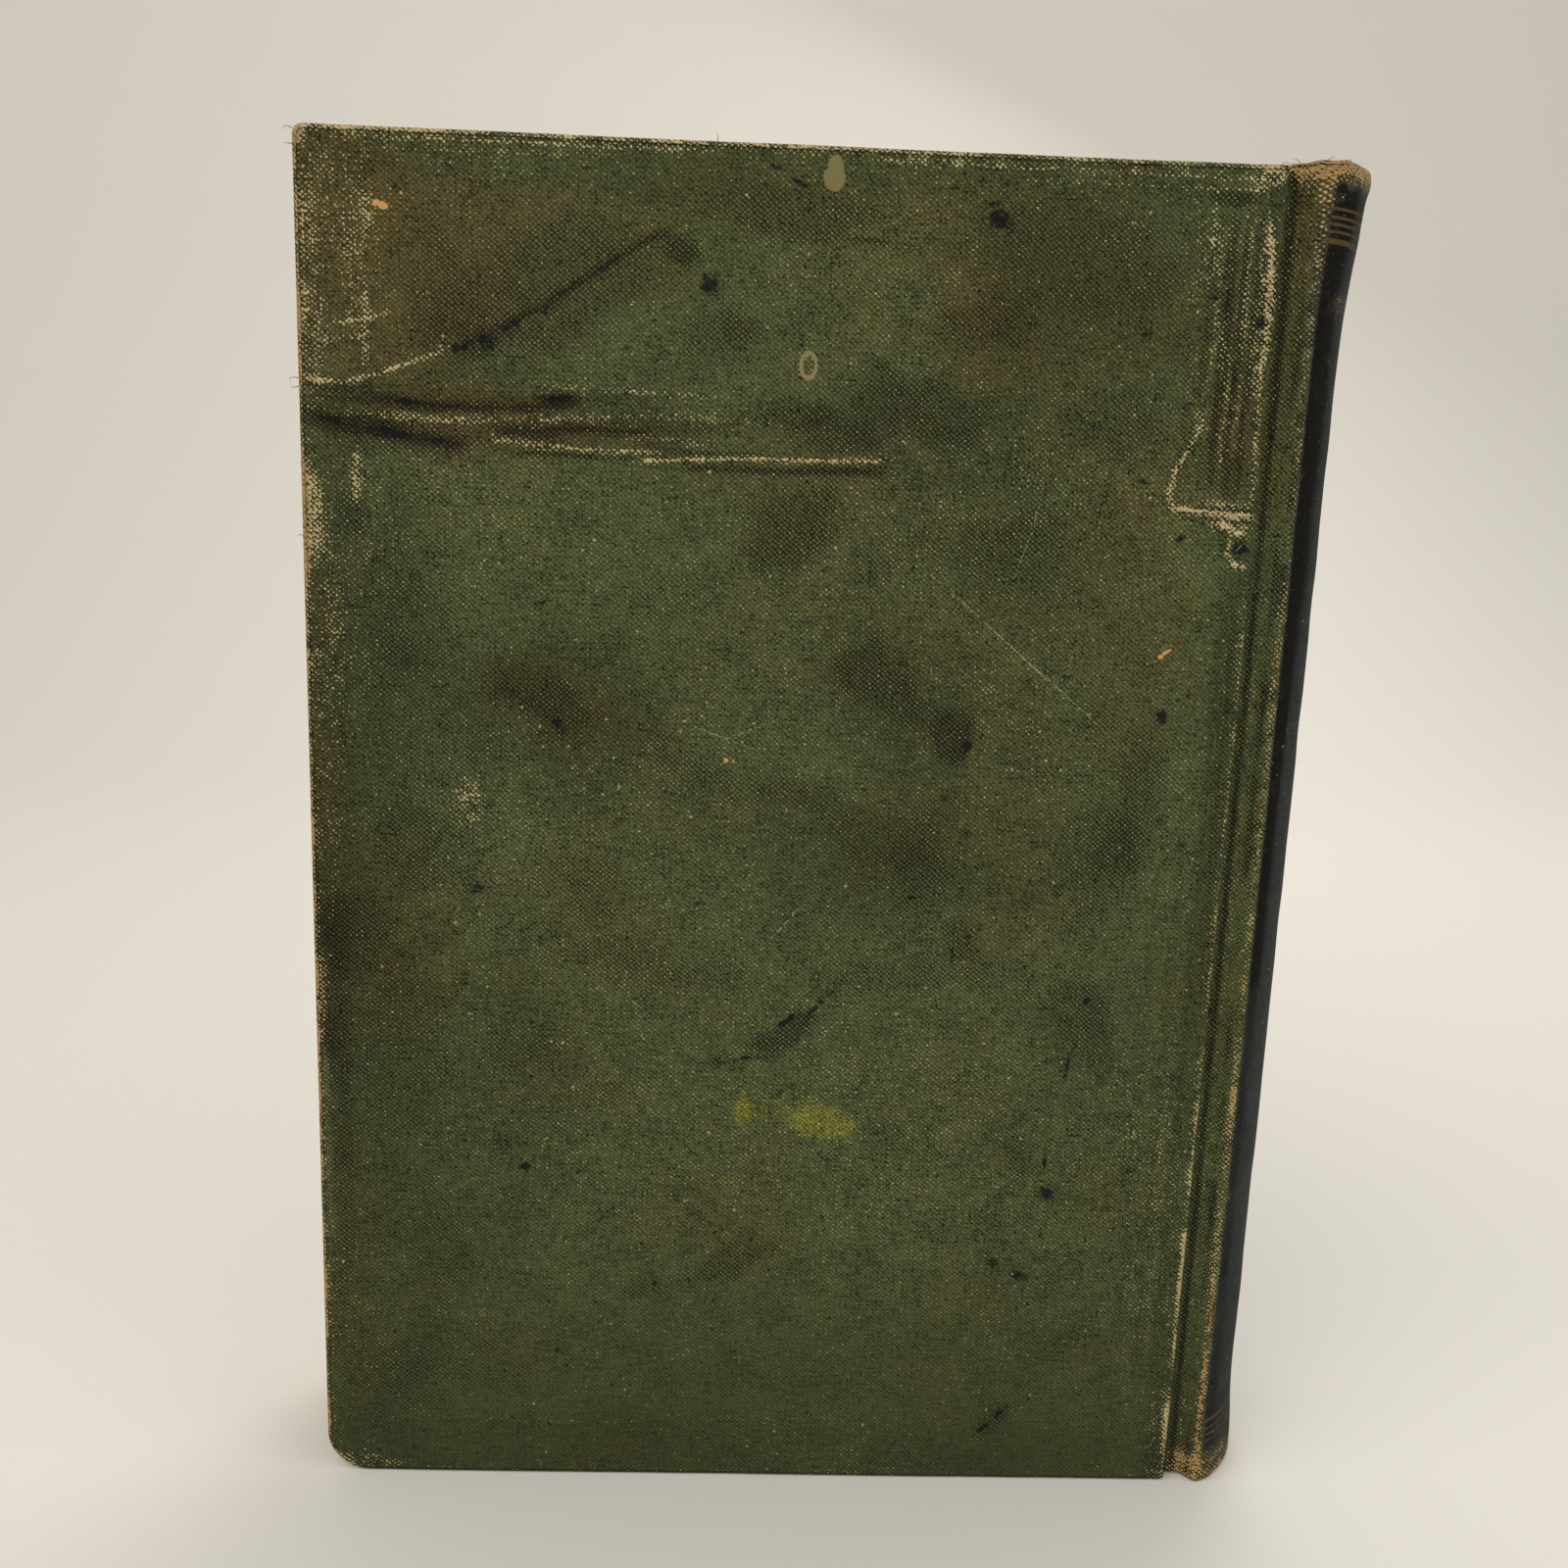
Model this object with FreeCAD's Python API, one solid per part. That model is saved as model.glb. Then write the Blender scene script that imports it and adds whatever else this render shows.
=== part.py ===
import FreeCAD, Part
import math
import os

# Hardback book in a cloth case binding, standing on its tail. All sizes are in millimetres.
# X runs from the fore-edge to the spine, Y from the back cover to the front cover, Z from tail to head.
# A depth is measured from the outside of a cover towards the middle of the book.

# The case
cover_height = 230.0
cover_width = 153.3
book_thickness = 36.0
board_thickness = 3.0
cloth_thickness = 0.45
turn_in_width = 15.0
edge_radius = 0.8
worn_corner_radius = 7.5
head_corner_radius = 1.6
plain_corner_radius = 2.5

# The joint between a cover and the spine
joint_width = 5.6
groove_depth = 2.0
groove_slope_angle = 40.0
ridge_radius = 1.3
hinge_offset = 2.2
hinge_lift = 0.3
hinge_line_gap = 0.2

# The rounded spine, from the outside inwards
spine_radius = 21.6
head_cap_rise = 0.8
strip_thickness = 0.8
hollow_gap = 0.3
lining_thickness = 0.25
mull_thickness = 0.3
mull_end_margin = 14.0
mull_flange_width = 26.0

# The text block and the endpapers
head_square = 3.2
fore_edge_square = 4.0
fore_edge_hollow = 6.0
shoulder_run = 5.6
paper_thickness = 0.2
closing_gap = 0.1

# What follows from those sizes
half_thickness = book_thickness / 2
ridge_centre_y = half_thickness - ridge_radius
ridge_reach = math.sqrt((spine_radius - ridge_radius) ** 2 - ridge_centre_y ** 2)
spine_bulge = spine_radius - ridge_reach
book_width = cover_width + joint_width + spine_bulge
fore_edge_x = -book_width / 2
board_edge_x = fore_edge_x + cover_width
ridge_x = board_edge_x + joint_width
spine_centre_x = ridge_x - ridge_reach
hinge_x = board_edge_x + hinge_offset
ridge_angle = math.atan2(ridge_centre_y, ridge_reach)
board_inner_depth = cloth_thickness + board_thickness
pastedown_depth = board_inner_depth + max(cloth_thickness, mull_thickness) + paper_thickness
flyleaf_depth = pastedown_depth + closing_gap
block_depth = flyleaf_depth + paper_thickness
block_half = half_thickness - block_depth
strip_radius = spine_radius - cloth_thickness
spine_turn_in_radius = strip_radius - strip_thickness
lining_radius = spine_turn_in_radius - cloth_thickness - hollow_gap
mull_radius = lining_radius - lining_thickness
block_radius = mull_radius - mull_thickness
block_fore_x = fore_edge_x + fore_edge_square
shoulder_x = spine_centre_x + block_radius * math.cos(ridge_angle)
shoulder_y = block_radius * math.sin(ridge_angle)
flare_x = shoulder_x - shoulder_run
spine_height = cover_height + head_cap_rise
block_top = cover_height - head_square
back, front = -1, 1


def point(x, y, z=0.0):
    return FreeCAD.Vector(x, y, z)


def line(start, end):
    return Part.LineSegment(start, end).toShape()


def arc(start, middle, end):
    return Part.Arc(start, middle, end).toShape()


def on_circle(centre, radius, angle, side=1):
    return point(centre.x + radius * math.cos(angle), side * (centre.y + radius * math.sin(angle)))


def prism(edges, bottom, top):
    """Extrude a closed outline in plan from bottom to top."""
    face = Part.Face(Part.Wire(edges))
    face.translate(point(0, 0, bottom))
    return face.extrude(point(0, 0, top - bottom))


def slab(side, x_start, x_end, depth_start, depth_end, bottom, top):
    """A flat box on one side of the book, between two depths under the outside of that cover."""
    y_start = side * (half_thickness - depth_start)
    y_end = side * (half_thickness - depth_end)
    size = (x_end - x_start, abs(y_end - y_start), top - bottom)
    return Part.makeBox(*size, point(x_start, min(y_start, y_end), bottom))


def band(radius_in, radius_out, half_angle, bottom, top):
    """A curved sheet round the spine's centre line."""
    centre = point(spine_centre_x, 0)
    corners = [on_circle(centre, r, a) for r in (radius_in, radius_out) for a in (-half_angle, half_angle)]
    inner_start, inner_end, outer_start, outer_end = corners
    edges = [
        arc(inner_start, on_circle(centre, radius_in, 0), inner_end),
        line(inner_end, outer_end),
        arc(outer_end, on_circle(centre, radius_out, 0), outer_start),
        line(outer_start, inner_start),
    ]
    return prism(edges, bottom, top)


def cover_plate(side, inset, depth_start, depth_end, tail_radius, head_radius):
    """A plate with the outline of a cover, inset all round, its two fore-edge corners rounded."""
    left, right = fore_edge_x + inset, board_edge_x - inset
    low, high = inset, cover_height - inset
    tail = tail_radius - inset
    head = head_radius - inset
    bend = 1 - math.sqrt(0.5)
    y = side * (half_thickness - depth_start)
    edges = [
        line(point(left + tail, y, low), point(right, y, low)),
        line(point(right, y, low), point(right, y, high)),
        line(point(right, y, high), point(left + head, y, high)),
        arc(point(left + head, y, high), point(left + head * bend, y, high - head * bend),
            point(left, y, high - head)),
        line(point(left, y, high - head), point(left, y, low + tail)),
        arc(point(left, y, low + tail), point(left + tail * bend, y, low + tail * bend),
            point(left + tail, y, low)),
    ]
    face = Part.Face(Part.Wire(edges))
    return face.extrude(point(0, side * (depth_start - depth_end), 0))


def edges_at_depth(shape, side, depth):
    y = side * (half_thickness - depth)
    return [e for e in shape.Edges if all(abs(v.Y - y) < 1e-6 for v in e.Vertexes)]


def corner_radii(side):
    """The back cover's tail corner is worn round and its head corner bumped. The front cover's are plain."""
    if side == back:
        return worn_corner_radius, head_corner_radius
    return plain_corner_radius, plain_corner_radius


def board(side):
    tail, head = corner_radii(side)
    return cover_plate(side, cloth_thickness, cloth_thickness, board_inner_depth, tail, head)


def cover_cloth(side):
    """Cloth over the outside of a board, round its edges, turned in inside, and down into the joint."""
    tail, head = corner_radii(side)
    inner_depth = board_inner_depth + cloth_thickness
    wrap = cover_plate(side, 0.0, 0.0, inner_depth, tail, head)
    wrap = wrap.makeFillet(edge_radius, edges_at_depth(wrap, side, 0.0))
    wall_x = board_edge_x - cloth_thickness
    floor_depth = groove_depth + cloth_thickness
    window = slab(side, fore_edge_x + turn_in_width, board_edge_x, board_inner_depth, inner_depth,
                  turn_in_width, cover_height - turn_in_width)
    below_floor = slab(side, wall_x, board_edge_x, floor_depth, inner_depth, 0, cover_height)
    floor = slab(side, wall_x, hinge_x - hinge_line_gap / 2, groove_depth, floor_depth, 0, cover_height)
    return wrap.cut([board(side), window, below_floor]).fuse(floor).removeSplitter()


def mull_flange(side):
    """The edge of the spine's mull, pasted to the inside of a board under the endpaper."""
    return slab(side, board_edge_x - mull_flange_width, board_edge_x - cloth_thickness, board_inner_depth,
                board_inner_depth + mull_thickness, mull_bottom(), mull_top())


def mull_bottom():
    return head_square + mull_end_margin


def mull_top():
    return block_top - mull_end_margin


def pastedown(side):
    """The half of an endpaper that is pasted down. It steps up over the cloth turn-ins and the mull."""
    left, right = block_fore_x, board_edge_x - cloth_thickness
    low, high = head_square, block_top
    cloth_step = board_inner_depth + cloth_thickness
    mull_step = board_inner_depth + mull_thickness
    window = (fore_edge_x + turn_in_width, right, turn_in_width, cover_height - turn_in_width)
    flange = (board_edge_x - mull_flange_width, right, mull_bottom(), mull_top())
    raised = slab(side, left, right, board_inner_depth, cloth_step + paper_thickness, low, high)
    sunk = slab(side, window[0] + paper_thickness, window[1], board_inner_depth + paper_thickness,
                pastedown_depth, window[2] + paper_thickness, window[3] - paper_thickness)
    over_mull = slab(side, flange[0] - paper_thickness, flange[1], board_inner_depth,
                     mull_step + paper_thickness, flange[2] - paper_thickness, flange[3] + paper_thickness)
    under_cloth = slab(side, left, right, board_inner_depth, cloth_step, low, high).cut(
        slab(side, window[0], window[1], board_inner_depth, cloth_step, window[2], window[3]))
    return raised.cut(sunk).fuse(over_mull).cut([under_cloth, mull_flange(side)]).removeSplitter()


def flyleaf(side):
    """The free half of an endpaper, lying on the text block up to the foot of the shoulder."""
    return slab(side, block_fore_x, flare_x, flyleaf_depth, block_depth, head_square, block_top)


def text_block():
    """All the sewn pages as one solid: hollow fore-edge, rounded back and a shoulder for each board."""
    rise = shoulder_y - block_half
    flare_radius = (shoulder_run ** 2 + rise ** 2) / (2 * rise)
    half_turn = math.asin(shoulder_run / flare_radius) / 2
    halfway = point(flare_radius * math.sin(half_turn), flare_radius * (1 - math.cos(half_turn)))
    spine_centre = point(spine_centre_x, 0)
    edges = []
    for side in (back, front):
        fore = point(block_fore_x, side * block_half)
        flare = point(flare_x, side * block_half)
        middle = point(flare_x + halfway.x, side * (block_half + halfway.y))
        tip = point(shoulder_x, side * shoulder_y)
        edges += [line(fore, flare), arc(flare, middle, tip)]
    edges.append(arc(point(shoulder_x, -shoulder_y), on_circle(spine_centre, block_radius, 0),
                     point(shoulder_x, shoulder_y)))
    edges.append(arc(point(block_fore_x, -block_half), point(block_fore_x + fore_edge_hollow, 0),
                     point(block_fore_x, block_half)))
    return prism(Part.__sortEdges__(edges), head_square, block_top)


def spine_sheet_points(side, offset):
    """Corners of one face of the spine cloth, from the hinge line up over the ridge, offset inwards."""
    slope = math.radians(groove_slope_angle)
    centre = point(ridge_x, ridge_centre_y)
    radius = ridge_radius - offset
    down = math.pi / 2 + slope
    foot_of_ridge = on_circle(centre, radius, down)
    floor_y = half_thickness - groove_depth - offset
    foot_x = foot_of_ridge.x - (foot_of_ridge.y - floor_y) / math.tan(slope)
    return [
        point(hinge_x + hinge_line_gap / 2, side * floor_y),
        point(foot_x, side * floor_y),
        point(foot_of_ridge.x, side * foot_of_ridge.y),
        on_circle(centre, radius, (down + ridge_angle) / 2, side),
        on_circle(centre, radius, ridge_angle, side),
    ]


def spine_cloth():
    """Cloth round the spine and down into both joints, turned in over the strip at head and tail."""
    edges = []
    for offset in (0.0, cloth_thickness):
        for side in (back, front):
            floor, foot, ridge_foot, ridge_top, ridge_end = spine_sheet_points(side, offset)
            edges += [line(floor, foot), line(foot, ridge_foot), arc(ridge_foot, ridge_top, ridge_end)]
        crown = point(spine_centre_x + spine_radius - offset, 0)
        ends = [spine_sheet_points(side, offset)[-1] for side in (back, front)]
        edges.append(arc(ends[0], crown, ends[1]))
    for side in (back, front):
        edges.append(line(spine_sheet_points(side, 0.0)[0], spine_sheet_points(side, cloth_thickness)[0]))
    sheet = prism(Part.__sortEdges__(edges), 0, spine_height)
    inside = spine_turn_in_radius - cloth_thickness
    pieces = []
    for bottom, top in ((0, cloth_thickness), (spine_height - cloth_thickness, spine_height)):
        pieces.append(band(inside, spine_radius, ridge_angle, bottom, top))
    for bottom, top in ((0, turn_in_width), (spine_height - turn_in_width, spine_height)):
        pieces.append(band(inside, spine_turn_in_radius, ridge_angle, bottom, top))
    return sheet.fuse(pieces).removeSplitter()


def spine_strip():
    """Card that stiffens the spine, held inside the cloth."""
    return band(spine_turn_in_radius, strip_radius, ridge_angle, cloth_thickness,
                spine_height - cloth_thickness)


def mull():
    """Open-weave cloth glued round the back of the text block."""
    return band(block_radius, mull_radius, ridge_angle, mull_bottom(), mull_top())


def spine_lining():
    """Paper glued over the mull and, past its ends, standing off the block by the mull's thickness."""
    return band(mull_radius, lining_radius, ridge_angle, head_square, block_top)


def main():
    nodes = {
        "text_block": text_block(),
        "spine_mull": mull(),
        "spine_lining": spine_lining(),
        "spine_strip": spine_strip(),
        "spine_cloth": spine_cloth(),
    }
    for name, side in (("back", back), ("front", front)):
        nodes[name + "_flyleaf"] = flyleaf(side)
        nodes[name + "_board"] = board(side)
        nodes[name + "_cover_cloth"] = cover_cloth(side)
        nodes[name + "_mull_flange"] = mull_flange(side)
        nodes[name + "_pastedown"] = pastedown(side)
    os.makedirs("parts", exist_ok=True)
    for name, shape in nodes.items():
        shape.exportStep("parts/" + name + ".step")
        box = shape.BoundBox
        print(name, len(shape.Solids), shape.isValid(), round(shape.Volume, 1),
              [round(v, 2) for v in (box.XMin, box.YMin, box.ZMin, box.XMax, box.YMax, box.ZMax)])
    print("hinge line at x", round(hinge_x, 3), "y", round(half_thickness + hinge_lift, 3))


main()
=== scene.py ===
import math

import bpy
import numpy as np
from mathutils import Matrix, Vector


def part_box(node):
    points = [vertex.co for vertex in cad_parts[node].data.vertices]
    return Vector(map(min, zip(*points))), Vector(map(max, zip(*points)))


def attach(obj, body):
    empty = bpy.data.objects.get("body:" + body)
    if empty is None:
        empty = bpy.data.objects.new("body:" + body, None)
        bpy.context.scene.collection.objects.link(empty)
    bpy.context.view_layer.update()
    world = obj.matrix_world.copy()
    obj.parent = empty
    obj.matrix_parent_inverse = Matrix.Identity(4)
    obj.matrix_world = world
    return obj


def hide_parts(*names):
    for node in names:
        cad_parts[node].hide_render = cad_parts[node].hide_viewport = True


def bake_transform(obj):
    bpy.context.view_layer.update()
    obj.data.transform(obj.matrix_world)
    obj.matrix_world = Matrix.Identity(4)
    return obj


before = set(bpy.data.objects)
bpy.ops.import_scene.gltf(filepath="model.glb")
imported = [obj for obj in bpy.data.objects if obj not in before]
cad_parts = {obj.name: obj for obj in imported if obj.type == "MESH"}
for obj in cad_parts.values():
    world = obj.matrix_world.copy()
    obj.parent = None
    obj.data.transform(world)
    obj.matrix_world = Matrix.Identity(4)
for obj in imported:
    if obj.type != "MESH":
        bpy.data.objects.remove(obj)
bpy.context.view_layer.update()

mm = 0.001
back, front = -1, 1

# Measures read from the frame, in millimetres
clothLow, clothHigh = (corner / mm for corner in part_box("back_cover_cloth"))
boardLow, boardHigh = (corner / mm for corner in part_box("back_board"))
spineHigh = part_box("spine_cloth")[1] / mm
blockLow, blockHigh = (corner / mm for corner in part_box("text_block"))
leafLow, leafHigh = (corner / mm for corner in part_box("back_flyleaf"))
pasteLow, pasteHigh = (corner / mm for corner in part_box("back_pastedown"))

book = {
    "clothThickness": boardLow.x - clothLow.x,
    "foreX": clothLow.x,
    "boardEdgeX": boardHigh.x + boardLow.x - clothLow.x,
    "halfThickness": -clothLow.y,
    "coverHeight": clothHigh.z,
    "spineTop": spineHigh.z,
    "spineRadius": 21.6,
    "jointWidth": 5.6,
    "grooveDepth": 2.0,
    "grooveSlope": 40.0,
    "ridgeRadius": 1.3,
    "edgeRadius": 0.8,
    "coverDepth": clothHigh.y - clothLow.y,
    "turnIn": 15.0,
}


def linear(hexText):
    # an sRGB hex colour as Blender's linear values
    parts = [int(hexText[i:i + 2], 16) / 255 for i in (1, 3, 5)]
    return [c / 12.92 if c <= 0.04045 else ((c + 0.055) / 1.055) ** 2.4 for c in parts] + [1.0]


def addNode(tree, kind, inputs=None, **settings):
    # adds a shader node, sets its properties, and sets or links its inputs
    node = tree.nodes.new("ShaderNode" + kind)
    for name, value in settings.items():
        setattr(node, name, value)
    for name, value in (inputs or {}).items():
        if isinstance(value, bpy.types.Node):
            value = value.outputs[0]
        if isinstance(value, bpy.types.NodeSocket):
            tree.links.new(value, node.inputs[name])
        else:
            node.inputs[name].default_value = value
    return node


def newMaterial(name):
    material = bpy.data.materials.new(name)
    material.use_nodes = True
    material.node_tree.nodes.clear()
    return material, material.node_tree


def rise(value, low, high):
    # a smooth step from 0 at low to 1 at high
    t = np.clip((value - low) / (high - low), 0, 1)
    return t * t * (3 - 2 * t)


def band(value, start, full, less, end):
    # rises from 0 at start to 1 when full, and falls again from less to end
    return rise(value, start, full) * (1 - rise(value, less, end))


def bell(value, middle, half):
    # 1 at the middle, falling off smoothly to both sides
    return np.exp(-((value - middle) / half) ** 2)


def fade(value, reach):
    # 1 up to 0, then dying away over about the reach
    return np.exp(-np.clip(value, 0, None) / reach)


def gridPoints(x, y, z):
    return np.stack([x, y, z], axis=2).reshape(-1, 3)


def ripple(seed, u, v, size):
    # smooth random relief from -1 to 1, its bumps about size millimetres wide
    cells = 64
    picks = np.random.default_rng(seed).uniform(-1, 1, (cells, cells))
    a, b = u / size, v / size
    i, k = np.floor(a).astype(int), np.floor(b).astype(int)
    fa, fb = rise(a - i, 0, 1), rise(b - k, 0, 1)
    low = picks[i % cells, k % cells] * (1 - fa) + picks[(i + 1) % cells, k % cells] * fa
    high = picks[i % cells, (k + 1) % cells] * (1 - fa) + picks[(i + 1) % cells, (k + 1) % cells] * fa
    return low * (1 - fb) + high * fb


def spacing(stretches):
    # positions along a line from (start, end, step) stretches that follow each other
    places = []
    for start, end, step in stretches:
        count = max(1, round((end - start) / step))
        places += [start + (end - start) * n / count for n in range(count)]
    return np.array(places + [stretches[-1][1]])


def makePiece(name, points, faces, material, flat=None, fields=None):
    # a mesh object from points in millimetres, with its cloth coordinates and wear fields
    mesh = bpy.data.meshes.new(name)
    mesh.from_pydata((np.asarray(points) * mm).tolist(), [], faces)
    mesh.materials.append(material)
    if flat is not None:
        layer = mesh.uv_layers.new(name="flatCloth")
        corners = np.zeros(len(mesh.loops), int)
        mesh.loops.foreach_get("vertex_index", corners)
        layer.data.foreach_set("uv", np.asarray(flat, np.float32)[corners].ravel())
    for field, values in (fields or {}).items():
        layer = mesh.attributes.new(field, "FLOAT", "POINT")
        layer.data.foreach_set("value", np.asarray(values, np.float32))
    mesh.polygons.foreach_set("use_smooth", [True] * len(mesh.polygons))
    mesh.validate()
    piece = bpy.data.objects.new(name, mesh)
    bpy.context.scene.collection.objects.link(piece)
    return piece


# Camera: a phone held low and close, fitted to the outline of the cover
cameraSet = {
    "position": (-15.4, -272.8, 184.0),
    "yaw": 2.07,
    "pitch": 12.0,
    "roll": -2.07,
    "sensor": 36.0,
    "lens": 36.0,
}


def placeCamera():
    yaw, pitch, roll = (math.radians(cameraSet[k]) for k in ("yaw", "pitch", "roll"))
    ahead = Vector((math.sin(yaw) * math.cos(pitch), math.cos(yaw) * math.cos(pitch), -math.sin(pitch)))
    right = Vector((math.cos(yaw), -math.sin(yaw), 0))
    down = ahead.cross(right)
    right, down = (right * math.cos(roll) + down * math.sin(roll),
                   down * math.cos(roll) - right * math.sin(roll))
    data = bpy.data.cameras.new("camera")
    data.sensor_width = cameraSet["sensor"]
    data.lens = cameraSet["lens"]
    data.clip_start = 0.01
    camera = bpy.data.objects.new("camera", data)
    turn = Matrix((right, -down, -ahead)).transposed().to_4x4()
    camera.matrix_world = Matrix.Translation(Vector(cameraSet["position"]) * mm) @ turn
    bpy.context.scene.collection.objects.link(camera)
    bpy.context.scene.camera = camera


placeCamera()
print("camera placed")

# Studio: a pale floor that curves up into a pale backdrop, soft lamps
studio = {
    "floorColour": "#ECE9E2",
    "worldColour": "#E6E3DE",
    "worldStrength": 0.6,
    "farColour": "#CFCAC0",
    "floorHalf": 2500.0,
    "backdropY": 900.0,
    "backdropBend": 350.0,
    "backdropHeight": 1800.0,
}
# each lamp: where it is, what it aims at, its size, watts and colour
lamps = {
    "windowLamp": ((-440, -600, 780), (0, 0, 130), 1.2, 5.2, "#FFFBF5"),
    "fillLamp": ((700, -420, 420), (0, 0, 120), 0.8, 1.3, "#F8FAFF"),
    "backLamp": ((250, 620, 700), (0, 0, 120), 0.6, 2.5, "#FFFCF6"),
}


def makeStudio():
    scene = bpy.context.scene
    scene.view_settings.view_transform = "Standard"
    world = bpy.data.worlds.new("studioWorld")
    world.use_nodes = True
    tree = world.node_tree
    tree.nodes.clear()
    soft = addNode(tree, "Background", {"Color": linear(studio["worldColour"]),
                                        "Strength": studio["worldStrength"]})
    # past the floor the camera and the gloss see the tone of the backdrop
    paths = addNode(tree, "LightPath").outputs
    seen = paths["Is Camera Ray"]
    for kind in ("Is Glossy Ray", "Is Transmission Ray"):
        seen = addNode(tree, "Math", {0: seen, 1: paths[kind]}, operation="MAXIMUM")
    backdrop = addNode(tree, "Background", {"Color": linear(studio["farColour"])})
    both = addNode(tree, "MixShader", {0: seen, 1: soft, 2: backdrop})
    addNode(tree, "OutputWorld", {"Surface": both})
    scene.world = world

    paint, tree = newMaterial("mattePaintedStudioFloor")
    shader = addNode(tree, "BsdfPrincipled",
                     {"Base Color": linear(studio["floorColour"]), "Roughness": 0.7})
    addNode(tree, "OutputMaterial", {"Surface": shader})
    half, wall, bend = studio["floorHalf"], studio["backdropY"], studio["backdropBend"]
    profile = [(-half, 0), (wall - bend, 0)]
    for n in range(1, 13):
        angle = math.radians(90 * n / 12)
        profile.append((wall - bend + bend * math.sin(angle), bend * (1 - math.cos(angle))))
    profile.append((wall, studio["backdropHeight"]))
    points = [(x, y, z) for y, z in profile for x in (-half, half)]
    faces = [(2 * n, 2 * n + 1, 2 * n + 3, 2 * n + 2) for n in range(len(profile) - 1)]
    makePiece("studioFloor", points, faces, paint)

    for name, (at, aim, size, watts, colour) in lamps.items():
        data = bpy.data.lights.new(name, "AREA")
        data.shape = "DISK"
        data.size = size
        data.energy = watts
        data.color = linear(colour)[:3]
        light = bpy.data.objects.new(name, data)
        light.location = Vector(at) * mm
        light.rotation_euler = (Vector(aim) - Vector(at)).to_track_quat("-Z", "Y").to_euler()
        scene.collection.objects.link(light)


makeStudio()
print("studio lit")

# Shape of the case cloth. A place on it is (u, v): u across from the fore-edge, v up from the tail.
clothShape = {
    "wornCorner": 7.5,
    "headCorner": 1.6,
    "plainCorner": 2.5,
    "seamTurn": 5.0,
    "floorBend": 0.6,
    "slopeBend": 1.2,
    "headFlare": 1.9,
    "footFlare": 0.8,
    # how far behind the outer face the turned-in end of the spine lies
    "spineEndDepth": 1.7,
    # past the board's spine edge: the end of its wall, and the ridge's crest
    "wallEnd": 2.4,
    "crest": 7.5,
}


def walkSection(start, heading, moves):
    # a path in plan made of straight and turning moves, (length, turn in degrees, step)
    x, y = start
    angle = math.radians(heading)
    path = [(x, y, angle, 0.0)]
    for length, turn, step in moves:
        count = max(1, round(length / step))
        part, bend = length / count, math.radians(turn) / count
        for n in range(count):
            angle += bend / 2
            x, y = x + part * math.cos(angle), y + part * math.sin(angle)
            angle += bend / 2
            path.append((x, y, angle, path[-1][3] + part))
    return np.array(path)


def jointMoves(steps):
    # from the board's flat face down its spine edge, across the groove and over the ridge
    slope = math.radians(book["grooveSlope"])
    bends = clothShape["slopeBend"] + book["ridgeRadius"]
    slopeLength = (book["grooveDepth"] - bends * (1 - math.cos(slope))) / math.sin(slope)
    floorLength = (book["jointWidth"] - clothShape["floorBend"] - bends * math.sin(slope)
                   - slopeLength * math.cos(slope))
    quarter = math.pi / 2
    leave = 90 - math.degrees(ridgeAngle())
    over = book["grooveSlope"] + leave
    wall = book["grooveDepth"] - book["edgeRadius"] - clothShape["floorBend"]
    return [
        (book["edgeRadius"] * quarter, 90, steps),
        (wall, 0, steps),
        (clothShape["floorBend"] * quarter, -90, steps),
        (floorLength, 0, steps * 1.3),
        (clothShape["slopeBend"] * slope, -book["grooveSlope"], steps),
        (slopeLength, 0, steps * 1.3),
        (book["ridgeRadius"] * math.radians(over), over, steps * 0.8),
        (book["spineRadius"] * math.radians(clothShape["seamTurn"]), clothShape["seamTurn"], steps * 1.5),
    ]


def ridgeAngle():
    # where the ridge meets the spine's round, as an angle from the middle of the spine
    reach = book["spineRadius"] - book["ridgeRadius"]
    return math.asin((book["halfThickness"] - book["ridgeRadius"]) / reach)


coverWidth = book["boardEdgeX"] - book["foreX"]
faceStart = book["edgeRadius"]
faceEnd = coverWidth - book["edgeRadius"]
spineMiddleX = spineHigh.x - book["spineRadius"]
seamU = faceEnd + walkSection((0, 0), 0, jointMoves(0.4))[-1, 3]
spineMiddleU = seamU + (ridgeAngle() - math.radians(clothShape["seamTurn"])) * book["spineRadius"]
print("cover", round(coverWidth, 1), "ridge angle", round(math.degrees(ridgeAngle()), 1))

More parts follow.
